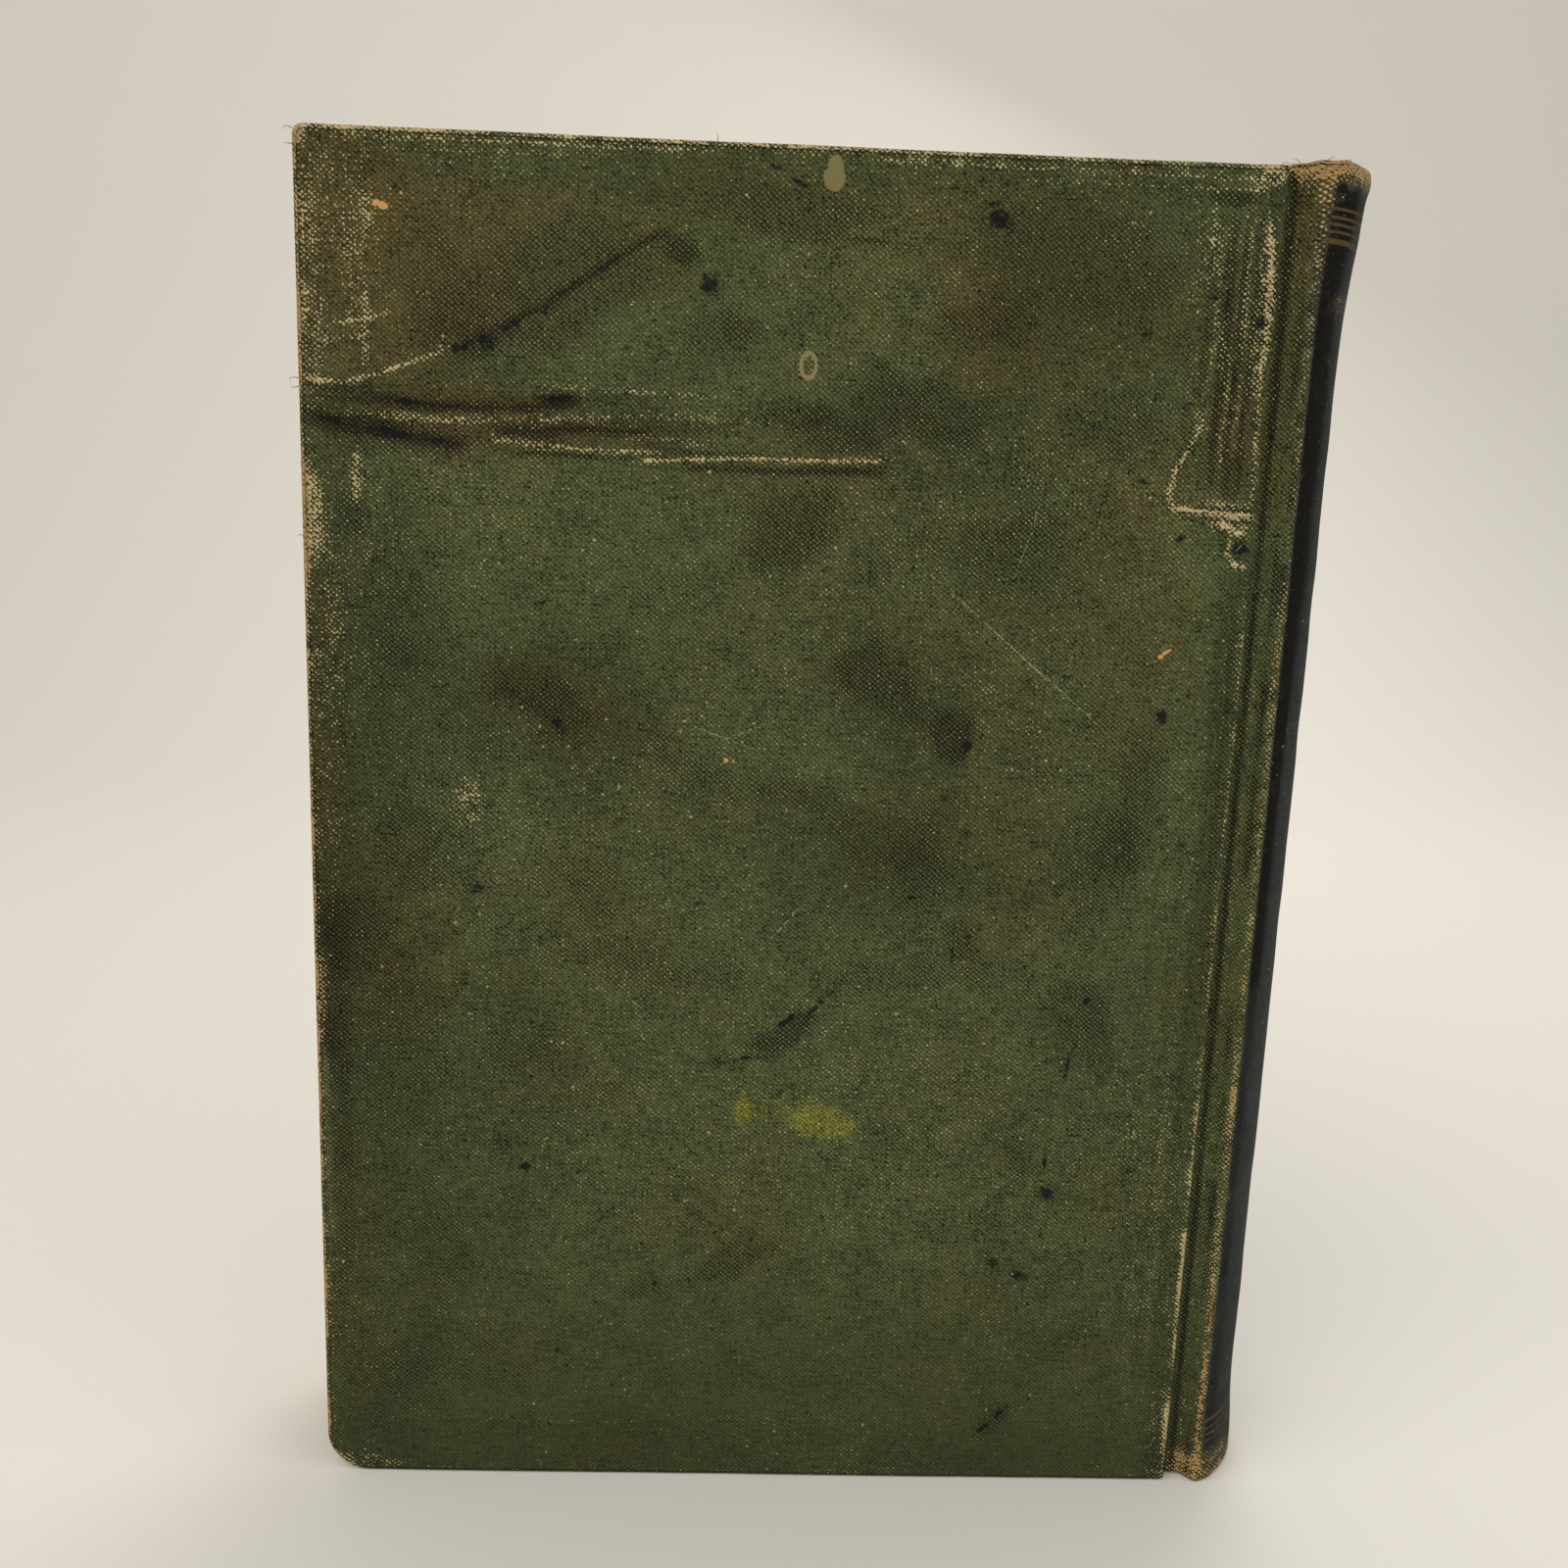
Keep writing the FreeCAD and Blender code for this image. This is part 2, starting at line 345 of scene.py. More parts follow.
# Folds and dents of the back cover: millimetres from the fore-edge and up from the tail
folds = {
    "upperCrease": [(0.8, 192.8), (2.3, 192.4), (7.3, 191.9), (9.0, 192.3), (12.3, 193.5), (15.5, 194.7),
                    (24, 197.8)],
    "topNick": [(5.1, 200.9), (9.5, 201.6), (14.8, 202.9)],
    "midNick": [(4.0, 198.1), (10.9, 199.1)],
    "foldLine": [(24, 197.4), (29, 199.8), (38, 204.6), (54, 215), (58.6, 216.8)],
    "bandTop": [(37, 192.3), (40.9, 192.6), (57.3, 192.2), (66, 191.6)],
    "bandDark": [(0.6, 188.3), (2.3, 187.4), (5.1, 185.6), (12.3, 184.9), (15.9, 184.2), (26.6, 182.8)],
    "bandMiddle": [(10, 190.6), (13.4, 189.7), (17, 189.4), (26.6, 188.7), (36.6, 189.2), (44, 190.2)],
    "bandSwell": [(4, 187.6), (14, 187.3), (26, 186.6), (40, 187.4), (58, 188.6), (72, 188.0)],
    "bandHigh": [(30, 190.9), (44, 191.6), (60, 190.6), (76, 190.0)],
    "bandLow": [(31, 184.9), (33, 185.1), (40.9, 186), (48, 186.1), (56, 185.9)],
    "lowCrease": [(30, 184.1), (33.7, 183.9), (38, 183.3), (45.1, 183), (52.3, 182.8), (58, 183)],
    "lowCreaseTwin": [(50.9, 185.2), (57.3, 185.1), (61.9, 184.5), (66, 183.4)],
    "longCrease": [(52.3, 181.4), (61.9, 182.1), (70, 182.5), (83.6, 182.6), (93.5, 183.0)],
    "longUnder": [(60, 180.7), (75, 180.7), (93.8, 181.2)],
    "dentSide": [(142.0, 192.3), (143.0, 190.5), (141.2, 186.4), (139.3, 182.9), (138.6, 180),
                 (139.0, 178.0)],
    "dentFoot": [(138.6, 179), (139.4, 177.2), (143, 176.7), (148, 176.4), (152.8, 176.2)],
    "dentTwin": [(143.2, 178.2), (148, 177.9), (152.8, 177.7)],
    "dentLip": [(144.8, 174.9), (147.5, 174.9), (149.4, 173.6), (151.5, 173.2)],
    "dentRing": [(149.3, 172.4), (148.9, 170.2), (150.2, 168.4), (152.3, 167.9)],
}
relief = {
    # raised or pressed lines: fold, half width, height
    "lines": [
        ("upperCrease", 0.5, 0.5), ("topNick", 0.45, 0.25), ("midNick", 0.45, 0.25),
        ("foldLine", 1.3, -0.2), ("bandTop", 0.8, 0.32), ("bandDark", 1.5, -0.36),
        ("bandMiddle", 1.0, -0.34), ("bandLow", 0.8, -0.3),
        ("lowCrease", 0.55, 0.46), ("lowCreaseTwin", 0.45, 0.36),
        ("bandSwell", 1.1, 0.4), ("bandHigh", 1.0, 0.3),
        ("longCrease", 0.5, 0.45), ("longUnder", 0.8, -0.25), ("dentSide", 0.5, 0.45),
        ("dentFoot", 0.5, 0.5), ("dentTwin", 0.45, 0.45), ("dentLip", 0.7, 0.4), ("dentRing", 0.55, 0.45),
    ],
    # dents and swellings: centre, half width, half height, height
    "spots": [
        ((151.0, 170.8), 1.3, 1.2, -0.9), ((146.5, 188.0), 6.5, 13.0, -0.25),
        ((148.0, 175.6), 4.0, 1.4, -0.15), ((8.0, 188.0), 9.0, 6.0, -0.15),
        ((98.0, 142.0), 22.0, 18.0, -0.1), ((40.0, 60.0), 30.0, 40.0, 0.08),
    ],
    # long soft ridges running up the cloth near the joint: u, from v, to v, half width, height
    "ribs": [
        (143.6, 186, 228, 0.6, 0.2), (146.4, 180, 226, 0.5, 0.18), (148.4, 179, 222, 0.5, 0.18),
        (142.6, 20, 100, 0.9, -0.1), (146.6, 18, 110, 0.8, -0.1), (149.6, 20, 165, 0.7, -0.09),
        (9.6, 20, 150, 2.0, -0.07), (10.7, 194, 206, 0.5, 0.16), (12.8, 206, 216, 0.5, 0.12),
    ],
}


def nearStroke(points, u, v):
    # distance to a line of points, and how far along it the nearest place is, from 0 to 1
    best = np.full(u.shape, 1e9)
    along = np.zeros(u.shape)
    lengths = [math.dist(a, b) for a, b in zip(points, points[1:])]
    done, total = 0.0, sum(lengths)
    for (a, b), length in zip(zip(points, points[1:]), lengths):
        du, dv = (b[0] - a[0]) / length, (b[1] - a[1]) / length
        t = np.clip((u - a[0]) * du + (v - a[1]) * dv, 0, length)
        far = np.hypot(u - a[0] - t * du, v - a[1] - t * dv)
        along = np.where(far < best, (done + t) / total, along)
        best = np.minimum(best, far)
        done += length
    return best, along


def backRelief(u, v):
    height = 0.09 * ripple(3, u, v, 34) + 0.035 * ripple(5, u, v, 9)
    wander = 0.3 * ripple(8, u, v, 2.6)
    for fold, half, lift in relief["lines"]:
        far, along = nearStroke(folds[fold], u + wander, v + wander)
        ends = band(along, -0.02, 0.12, 0.88, 1.02)
        uneven = 0.75 + 0.35 * ripple(11, u, v, 3.2)
        height += lift * ends * uneven * bell(far, 0, half)
    for (cu, cv), wide, tall, lift in relief["spots"]:
        height += lift * np.exp(-(((u - cu) / wide) ** 2 + ((v - cv) / tall) ** 2) ** 1.5)
    for cu, low, high, half, lift in relief["ribs"]:
        reach = band(v, low - 3, low + 5, high - 5, high + 3)
        height += lift * reach * bell(u + 0.4 * ripple(13, u * 0, v, 12), cu, half)
    return np.maximum(height, -0.8 * book["clothThickness"])


def plainRelief(u, v):
    return 0.08 * ripple(23, u, v, 30) + 0.035 * ripple(25, u, v, 9)


def roundCorners(x, z, left, bottom, top, tailRadius, headRadius):
    # bends the two fore-edge corners of a square grid into quarter rounds
    x, z = x.copy(), z.copy()
    for cz, radius, sign in ((bottom + tailRadius, tailRadius, -1), (top - headRadius, headRadius, 1)):
        a, b = (left + radius - x) / radius, sign * (z - cz) / radius
        inside = (a > 0) & (b > 0)
        reach = np.maximum(a, b) / np.maximum(np.hypot(a, b), 1e-9)
        x = np.where(inside, left + radius - a * reach * radius, x)
        z = np.where(inside, cz + sign * b * reach * radius, z)
    return x, z


def gridFaces(columns, rows, flip=False):
    # quads of a grid whose points run up each column in turn
    i, k = np.meshgrid(np.arange(columns - 1), np.arange(rows - 1), indexing="ij")
    a = (i * rows + k).ravel()
    quads = np.stack([a, a + rows, a + rows + 1, a + 1], axis=1)
    return quads[:, ::-1].tolist() if flip else quads.tolist()


def coverCloth(side, name, uSteps, vSteps, jointStep, corners, reliefOf, material):
    # one cover's cloth: outer face, joint and ridge, wrapped round the edges and turned in
    tail, head = (radius - faceStart for radius in corners)
    outer = -book["halfThickness"]
    low, high = faceStart, book["coverHeight"] - faceStart
    joint = walkSection((book["foreX"] + faceEnd, outer), 0, jointMoves(jointStep))
    u = np.concatenate([uSteps, faceEnd + joint[1:, 3]])
    planX = np.concatenate([book["foreX"] + uSteps, joint[1:, 0]])
    planY = np.concatenate([np.full(len(uSteps), outer), joint[1:, 1]])
    angle = np.concatenate([np.zeros(len(uSteps)), joint[1:, 2]])
    columns, rows = len(u), len(vSteps)

    gridU, gridV = np.meshgrid(u, vSteps, indexing="ij")
    faceX, faceZ = roundCorners(gridU, gridV, faceStart, low, high, tail, head)
    x = planX[:, None] + faceX - gridU
    y = np.repeat(planY[:, None], rows, axis=1)
    z = faceZ + headLift(gridU, gridV)
    normalX = np.repeat(np.sin(angle)[:, None], rows, axis=1)
    normalY = np.repeat(-np.cos(angle)[:, None], rows, axis=1)
    onFace = 1 - rise(gridU, faceEnd + 1.0, faceEnd + 2.5)
    lift = reliefOf(faceX, z) * onFace + roundFlare(gridU, z)
    x, y = x + normalX * lift, y + normalY * lift

    edge = edgeLoop(columns, rows)
    ci, ri = edge[:, 0], edge[:, 1]
    start = np.stack([x[ci, ri], y[ci, ri], z[ci, ri]], axis=1)
    outX, outZ = edgeDirections(faceX, faceZ, edge, rows, tail, head, low, high)
    inward, depth = wrapInto(start, u[ci], angle[ci])
    rings, ringFlat = wrapEdge(start, outX, outZ, inward, depth, faceX[ci, ri], z[ci, ri], u[ci])
    points = [gridPoints(x, y, z)]
    flat = [np.stack([faceX, z], axis=2).reshape(-1, 2)]
    faces = gridFaces(columns, rows)
    addRings(points, flat, faces, rings, ringFlat, ci * rows + ri, True)
    points, flat = np.concatenate(points), np.concatenate(flat)
    fields = wearFields(side, flat)
    if side == front:
        # mirrored, and its cloth carries on from the far edge of the spine
        points[:, 1] *= -1
        faces = [tuple(reversed(face)) for face in faces]
        flat[:, 0] = 2 * spineMiddleU - flat[:, 0]
    return makePiece(name, points, faces, material, flat, fields)


def addRings(points, flat, faces, rings, ringFlat, previous, flip):
    # joins rings to the points of a grid's edge, and to each other
    total = sum(len(part) for part in points)
    for ring, ringUv in zip(rings, ringFlat):
        current = total + np.arange(len(ring))
        quads = np.stack([previous[:-1], previous[1:], current[1:], current[:-1]], axis=1)
        faces += (quads[:, ::-1] if flip else quads).tolist()
        points.append(ring)
        flat.append(ringUv)
        previous = current
        total += len(ring)


def headLift(u, z):
    # the cloth cap at the head of the spine stands above the boards, its rim wavy and nicked by pulling
    high = book["coverHeight"] - faceStart
    cap = book["spineTop"] - book["coverHeight"]
    onCap = rise(u, coverWidth + 0.6, coverWidth + 2.6)
    wave = 0.2 * ripple(35, u, u * 0, 2.6) + 0.1 * ripple(36, u, u * 0, 1.1) + 0.15
    edge = 0.12 * ripple(37, u, u * 0, 16) * (1 - onCap)
    nick = 0.55 * bell(u, coverWidth + 0.9, 0.55)
    return rise(z, 214, high) * (onCap * (cap + wave) + edge) - nick * rise(z, 226, high)


def roundFlare(u, z):
    # the spine's cloth flares at head and foot where it was pulled and stood on
    onSpine = rise(u, coverWidth + 5.0, coverWidth + 11.0)
    top = book["spineTop"]
    headPart = clothShape["headFlare"] * rise(z, 196, top) ** 1.6
    footPart = clothShape["footFlare"] * (1 - rise(z, 2, 22)) ** 2
    uneven = 0.2 * ripple(31, u, z, 4.0) * rise(z, 208, top) + 0.08 * ripple(33, u, z, 7.0)
    # the turned-in end makes a thicker roll at the head
    uneven = uneven + 0.35 * bell(z, top - 1.8, 1.6)
    return onSpine * (headPart + footPart) + rise(u, coverWidth, coverWidth + 6) * uneven


def edgeLoop(columns, rows):
    # the open edge: along the tail to the fore-edge, up it, and back along the head
    tail = [(i, 0) for i in range(columns - 1, 0, -1)]
    fore = [(0, k) for k in range(rows)]
    head = [(i, rows - 1) for i in range(1, columns)]
    return np.array(tail + fore + head)


def edgeDirections(faceX, faceZ, edge, rows, tail, head, low, high):
    # which way is outwards in the cover's plane at each place on the edge
    outX, outZ = np.zeros(len(edge)), np.zeros(len(edge))
    for n, (i, k) in enumerate(edge):
        ex, ez = faceX[i, k], faceZ[i, k]
        for cz, radius, sign in ((low + tail, tail, -1), (high - head, head, 1)):
            if ex < faceStart + radius and sign * (ez - cz) > 0:
                away = Vector((ex - faceStart - radius, ez - cz)).normalized()
                outX[n], outZ[n] = away.x, away.y
                break
        else:
            outX[n] = -1.0 if i == 0 and 0 < k < rows - 1 else 0.0
            outZ[n] = 0.0 if outX[n] else (-1.0 if k == 0 else 1.0)
    return outX, outZ


def wrapInto(start, u, angle):
    # where each place on the edge wraps to: across the board, or back on the cloth past it
    outer = -book["halfThickness"]
    inner = outer + book["coverDepth"]
    corner = np.array([book["boardEdgeX"] - book["clothThickness"], inner])
    target = np.stack([start[:, 0], np.full(len(start), inner)], axis=1)
    past = u > faceEnd + clothShape["wallEnd"]
    target[(u > faceEnd - 0.3) & ~past] = corner
    thick = 0.9 + 0.8 * rise(u, coverWidth + 3, coverWidth + 8)
    behind = np.stack([-np.sin(angle), np.cos(angle)], axis=1) * thick[:, None]
    target[past] = start[past, :2] + behind[past]
    inward = target - start[:, :2]
    depth = np.hypot(inward[:, 0], inward[:, 1])
    return inward / depth[:, None], depth


def wrapEdge(start, outX, outZ, inward, depth, flatU, flatV, u):
    # rings round the edge and the turn-in behind it
    rings, flats = [], []
    radius = np.minimum(book["edgeRadius"], depth * 0.48)
    quarter = [math.radians(a) for a in (22, 45, 68, 90)]
    stages = [(np.sin(a), 1 - np.cos(a), 0.0) for a in quarter]
    stages += [(1.0, 1.0, t) for t in (0.25, 0.5, 0.75, 1.0)]
    stages += [(np.cos(a), 1 + np.sin(a), 1.0) for a in quarter]
    walked = 0.0
    last = (0.0, 0.0)
    for outwards, inwards, share in stages:
        out = radius * outwards
        deep = radius * inwards + share * (depth - 2 * radius)
        walked = walked + np.hypot(out - last[0], deep - last[1])
        last = (out, deep)
        ring = start + np.stack([outX * out + inward[:, 0] * deep, inward[:, 1] * deep, outZ * out], axis=1)
        rings.append(ring)
        flats.append(np.stack([flatU + outX * walked, flatV + outZ * walked], axis=1))
    base, reach = rings[-1], book["turnIn"]
    high = book["coverHeight"]
    onBoard = u <= faceEnd + clothShape["wallEnd"]
    for share in (0.04, 0.2, 0.5, 0.8, 1.0):
        ring = base.copy()
        shrink = reach * share * (1 - 2 * np.clip(start[:, 2] / high, 0, 1))
        ring[:, 2] += np.where(onBoard, shrink, -outZ * reach * share)
        across = np.clip(u / coverWidth, 0, 1)
        ring[:, 0] += np.where(onBoard, reach * share * (1 - across), 0)
        rings.append(ring)
        flats.append(np.stack([flatU + outX * (walked + reach * share),
                               flatV + outZ * (walked + reach * share)], axis=1))
    return rings, flats


def spineCloth(name, columnStep, vSteps, material):
    # the cloth of the spine between the two ridges, its ends turned in at head and tail
    reach = ridgeAngle() - math.radians(clothShape["seamTurn"])
    count = round(2 * reach * book["spineRadius"] / columnStep)
    angles = np.linspace(-reach, reach, count + 1)
    u = seamU + (angles + reach) * book["spineRadius"]
    columns, rows = len(u), len(vSteps)
    gridU, gridV = np.meshgrid(u, vSteps, indexing="ij")
    mirrorU = np.minimum(gridU, u[0] + u[-1] - gridU)
    z = gridV + headLift(mirrorU, gridV)
    lift = roundFlare(mirrorU, z)
    radius = book["spineRadius"] + lift
    x = spineMiddleX + radius * np.cos(angles)[:, None]
    y = radius * np.sin(angles)[:, None]
    points = [gridPoints(x, y, z)]
    flat = [np.stack([gridU, z], axis=2).reshape(-1, 2)]
    faces = gridFaces(columns, rows)
    inward = -np.stack([np.cos(angles), np.sin(angles)], axis=1)
    depth = np.full(columns, clothShape["spineEndDepth"])
    for row, out in ((0, -1.0), (rows - 1, 1.0)):
        start = np.stack([x[:, row], y[:, row], z[:, row]], axis=1)
        rings, ringFlat = wrapEdge(start, np.zeros(columns), np.full(columns, out), inward, depth,
                                   u, z[:, row], np.full(columns, 1e3))
        addRings(points, flat, faces, rings, ringFlat, np.arange(columns) * rows + row, out < 0)
    points, flat = np.concatenate(points), np.concatenate(flat)
    mirrored = flat.copy()
    mirrored[:, 0] = np.minimum(flat[:, 0], u[0] + u[-1] - flat[:, 0])
    fields = wearFields(0, mirrored)
    return makePiece(name, points, faces, material, flat, fields)


# Wear seen on the back cover: (u, v, half width, half height, tilt in degrees, strength)
backWear = {
    "soilAndShadow": [
        (99, 191, 13, 8, -10, 0.5), (79, 171, 8, 8, 0, 0.66), (37, 143, 11, 6, -38, 0.58),
        (94, 147, 12, 6.5, -30, 0.6), (106, 139, 4.5, 7, 10, 0.8), (94, 121, 16, 7, -5, 0.34),
        (62, 133, 8, 4, -30, 0.4), (80, 128, 9, 4, -20, 0.4), (106, 113, 10, 6, 0, 0.35),
        (117, 97, 8, 5, -30, 0.3), (80, 86, 8, 3.0, 24, 0.8), (114, 168, 10, 9, 0, 0.28),
        (104, 128, 6, 4, 0, 0.12), (131, 89, 6, 12, 20, 0.5), (6, 102, 7, 10, 0, 0.55),
        (4, 62, 3, 40, 0, 0.5), (20, 118, 12, 9, 0, 0.4), (46, 112, 9, 7, 0, 0.4),
        (131, 116, 7, 14, 0, 0.4), (72, 42, 11, 4, 25, 0.5), (57, 37, 6, 2.4, 15, 0.5),
        (110, 104, 4, 5, 0, 0.5), (34, 82, 8, 6, 0, 0.4), (120.5, 12.5, 5, 2.4, 50, 0.8),
        (122, 64, 2.5, 6, 20, 0.5), (38, 207, 24, 11, 32, 0.5), (76, 220, 18, 5, 0, 0.5),
        (121, 214, 22, 11, 0, 0.45), (92, 165, 5, 5, 0, 0.35), (145.3, 203, 1.2, 26, 0, 0.85),
        (147.5, 202, 0.9, 24, 0, 0.85), (149.6, 200, 0.8, 24, 0, 0.75), (142.3, 206, 0.8, 18, 0, 0.6),
        (146, 184, 5, 6, 0, 0.5), (144.5, 225, 5, 1.6, 0, 0.7), (140.5, 190, 1.5, 12, 0, 0.35),
        (12, 152, 6, 14, 0, 0.25), (60, 97, 18, 5, -8, 0.35), (100, 97, 17, 4, 5, 0.35),
        (27, 24, 13, 8, 0, 0.3), (138, 128, 5, 18, 0, 0.35), (65, 201, 8, 5, 0, 0.4),
        (41, 190.6, 4.5, 1.6, 0, 0.9), (47, 73, 10, 4, 30, 0.3), (59.5, 214.5, 4.2, 2.6, -20, 0.75),
        (9, 185.8, 11, 1.9, -4, 0.9), (16, 189.6, 9, 1.3, -4, 0.8), (30, 189.2, 14, 1.2, 0, 0.55),
        (36, 185.6, 8, 1.6, 0, 0.75), (60, 186.6, 12, 1.2, 2, 0.5), (66, 182.9, 12, 0.8, 1, 0.6),
        (78, 190, 8, 3, 0, 0.5), (84, 186, 8, 4, 0, 0.35), (30, 199, 6, 3, 25, 0.6),
        (8, 172, 3, 5, 0, 0.5), (20, 140, 14, 26, 0, 0.3), (14, 80, 10, 22, 0, 0.35),
        (10, 20, 12, 10, 0, 0.25), (20, 45, 8, 14, 10, 0.3), (85, 20, 30, 5, 0, 0.2),
        (60, 160, 10, 5, 20, 0.25), (18, 183, 16, 2.5, 0, 0.35), (22, 207, 6, 12, 0, 0.4),
        (105, 205, 10, 4, 10, 0.4), (128, 190, 8, 6, 0, 0.3), (129, 143, 7, 5, 20, 0.3),
        (70, 128, 8, 3, -10, 0.35),
    ],
    "brown": [
        (30, 210, 30, 16, 12, 0.7), (118, 210, 32, 18, 0, 0.5), (6, 200, 9, 24, 0, 0.6),
        (16, 104, 18, 20, 0, 0.5), (96, 180, 26, 14, 0, 0.4), (92, 122, 34, 10, 0, 0.4),
        (40, 142, 14, 8, -35, 0.5), (30, 187, 34, 5, -3, 0.7), (134, 160, 12, 30, 0, 0.35),
        (70, 222, 60, 6, 0, 0.4), (5, 40, 6, 44, 0, 0.3), (3, 120, 4, 50, 0, 0.5),
        (9, 222, 18, 12, 0, 0.8), (148, 200, 5, 28, 0, 0.5),
    ],
    "rubAndHighlight": [
        (6, 220, 7, 8, 0, 0.22), (9.5, 208, 3.0, 14, 0, 0.28), (1.6, 172, 2.4, 9, 0, 0.5),
        (9, 178, 1.3, 5, 0, 0.3), (2.4, 206, 2.2, 20, 0, 0.34), (18, 187.3, 12, 0.9, -2, 0.3),
        (40, 187.8, 12, 0.7, 3, 0.2), (62, 188.6, 14, 0.9, 0, 0.16), (52, 191.8, 16, 0.7, 0, 0.14),
        (0.6, 228.6, 1.6, 2.4, 0, 0.8), (11, 222, 1.2, 7, 0, 0.25), (26.5, 125.3, 2.4, 5, 0, 0.4),
        (26.5, 126.5, 1.8, 0.6, 0, 0.5), (28.9, 164.6, 0.9, 2.6, 0, 0.4), (15.1, 105.9, 3, 2.2, 20, 0.2),
        (1.2, 91.3, 1.4, 8, 0, 0.35), (75, 75, 46, 36, 0, 0.06), (98, 150, 30, 36, 0, 0.05),
        (150.5, 227.4, 4, 2.4, 0, 0.4), (151.2, 210, 2.2, 15, 0, 0.3), (146, 208, 8, 20, 0, 0.12),
        (149.0, 200, 2.4, 22, 0, 0.1), (143.6, 212, 0.7, 12, 0, 0.32), (146.4, 190, 0.7, 12, 0, 0.28),
        (141.5, 218, 1.6, 6, 0, 0.24), (147, 60, 4.5, 36, 0, 0.1), (5, 2.2, 9, 1.8, 0, 0.4),
        (149.5, 174.9, 3.4, 1.4, 0, 0.4), (8, 26, 7, 12, 0, 0.12), (8, 158, 8, 26, 0, 0.14),
        (114, 143, 10, 2.2, -40, 0.1), (4, 140, 2.4, 30, 0, 0.16), (128, 217, 5, 4, 0, 0.14),
        (140, 74, 2, 14, 8, 0.13), (151.4, 9, 2.4, 13, 0, 0.34), (20.5, 177, 1.2, 3, 0, 0.2),
        (101.2, 211, 1.6, 1.2, 0, 0.25), (95.9, 186, 1.2, 0.8, 0, 0.3), (44, 126, 20, 14, 0, 0.04),
        (50.5, 188, 6, 3, 0, 0.1),
    ],
    # broad darker patches
    "dull": [
        (6, 130, 16, 70, 0, 0.3), (4, 118, 5, 60, 0, 0.2), (24, 70, 22, 40, 0, 0.22),
        (126, 205, 34, 30, 0, 0.2), (132, 60, 24, 44, 0, 0.16), (30, 188, 34, 8, -2, 0.3),
        (40, 140, 22, 16, -30, 0.3), (100, 188, 24, 12, 0, 0.25), (100, 142, 20, 14, -30, 0.25),
        (100, 118, 40, 12, 0, 0.2), (60, 226, 90, 5, 0, 0.2), (60, 4, 110, 9, 0, 0.15),
        (118, 168, 20, 14, 0, 0.2), (10, 30, 12, 40, 0, 0.15),
    ],
    "stain": [
        (87.8, 70.6, 6.4, 3.4, -12, 0.75), (85.0, 71.2, 3.0, 1.8, -10, 0.4),
        (73.4, 71.6, 1.6, 2.6, 0, 0.95), (80.0, 71.8, 8, 3.6, 0, 0.2),
    ],
    # crisp smudges: their size is where the mark ends
    "blot": [
        (108.5, 220.3, 2.6, 1.8, -20, 1), (107.2, 222.3, 1.4, 0.6, 0, 1), (64.1, 208.9, 1.7, 1.6, 0, 1),
        (77.5, 224.2, 2.2, 0.5, -25, 1), (73.9, 226.4, 1.6, 0.4, -20, 1), (25.4, 198.1, 1.6, 0.8, 25, 1),
        (29.3, 199.0, 1.7, 1.1, -25, 1), (17.0, 189.4, 2.2, 0.6, -8, 1), (37.7, 158.4, 1.2, 0.5, 10, 1),
        (134.4, 181.1, 1.2, 0.5, -25, 1), (141.2, 172.2, 1.1, 0.6, 30, 1),
        (140.5, 143.1, 1.5, 1.2, 10, 1), (127.3, 57.1, 1.6, 1.4, 0, 1), (118.7, 43.3, 1.3, 0.9, -20, 1),
        (123.6, 40.9, 1.8, 0.9, -30, 1), (58.5, 38.5, 1.6, 0.6, 10, 1), (35.6, 60.2, 1.1, 1.1, 0, 1),
        (27.5, 110.4, 1.3, 0.8, 20, 1), (90.8, 164.5, 0.4, 2.8, -8, 1), (151.1, 170.9, 1.6, 1.2, 0, 1),
        (33.0, 201.5, 1.8, 0.5, 30, 1), (151.0, 206.6, 1.0, 1.4, 0, 1), (80.2, 88.2, 2.4, 0.6, 35, 1),
        (85.0, 90.5, 2.0, 0.4, 40, 1), (72, 81, 4.5, 0.4, 10, 1), (121.6, 13.4, 2.2, 0.5, 55, 1),
        (119, 10.5, 2.0, 0.5, 45, 1), (110.4, 104.2, 0.6, 1.4, 25, 1), (112, 101.4, 0.5, 1.6, 40, 1),
        (100.6, 110.6, 1.2, 0.4, 0, 1), (64.7, 108.8, 1.0, 0.5, 0, 1), (58, 148.5, 0.6, 0.6, 0, 1),
        (143.5, 210, 1.3, 0.5, 10, 1), (132, 93, 0.6, 1.6, 30, 1), (126.5, 63, 0.5, 1.4, 0, 1),
        (59.8, 127.2, 2.0, 0.5, -40, 1), (40.8, 138.6, 2.4, 0.8, -42, 1), (108.4, 137.2, 1.6, 0.9, 60, 1),
        (14, 184.6, 4.4, 0.9, -6, 1), (5, 186.3, 3.6, 0.7, -14, 0.95), (22, 183.6, 3.0, 0.6, -8, 0.9),
        (40.5, 190.7, 3.4, 0.8, 4, 0.92), (22, 189.0, 4.5, 0.4, -3, 0.9), (133, 204, 0.9, 0.7, 0, 1),
        (49, 166, 0.5, 0.4, 0, 1), (73, 25, 0.6, 0.4, 0, 1), (108, 101, 0.5, 3.2, 8, 0.9),
        (112.4, 106, 0.5, 1.2, 0, 1), (129.5, 82, 0.6, 4.5, -12, 0.85), (127, 49, 0.5, 1.4, 0, 1),
        (87.5, 93.5, 2.8, 0.4, 38, 0.9), (76, 85.5, 2.6, 0.5, 20, 0.9), (66, 39.5, 5.0, 0.5, 8, 0.8),
        (97, 150.5, 0.9, 0.6, 0, 1), (46, 209.9, 9.5, 0.5, 33, 0.72), (38.5, 204.0, 1.5, 1.0, 20, 0.9),
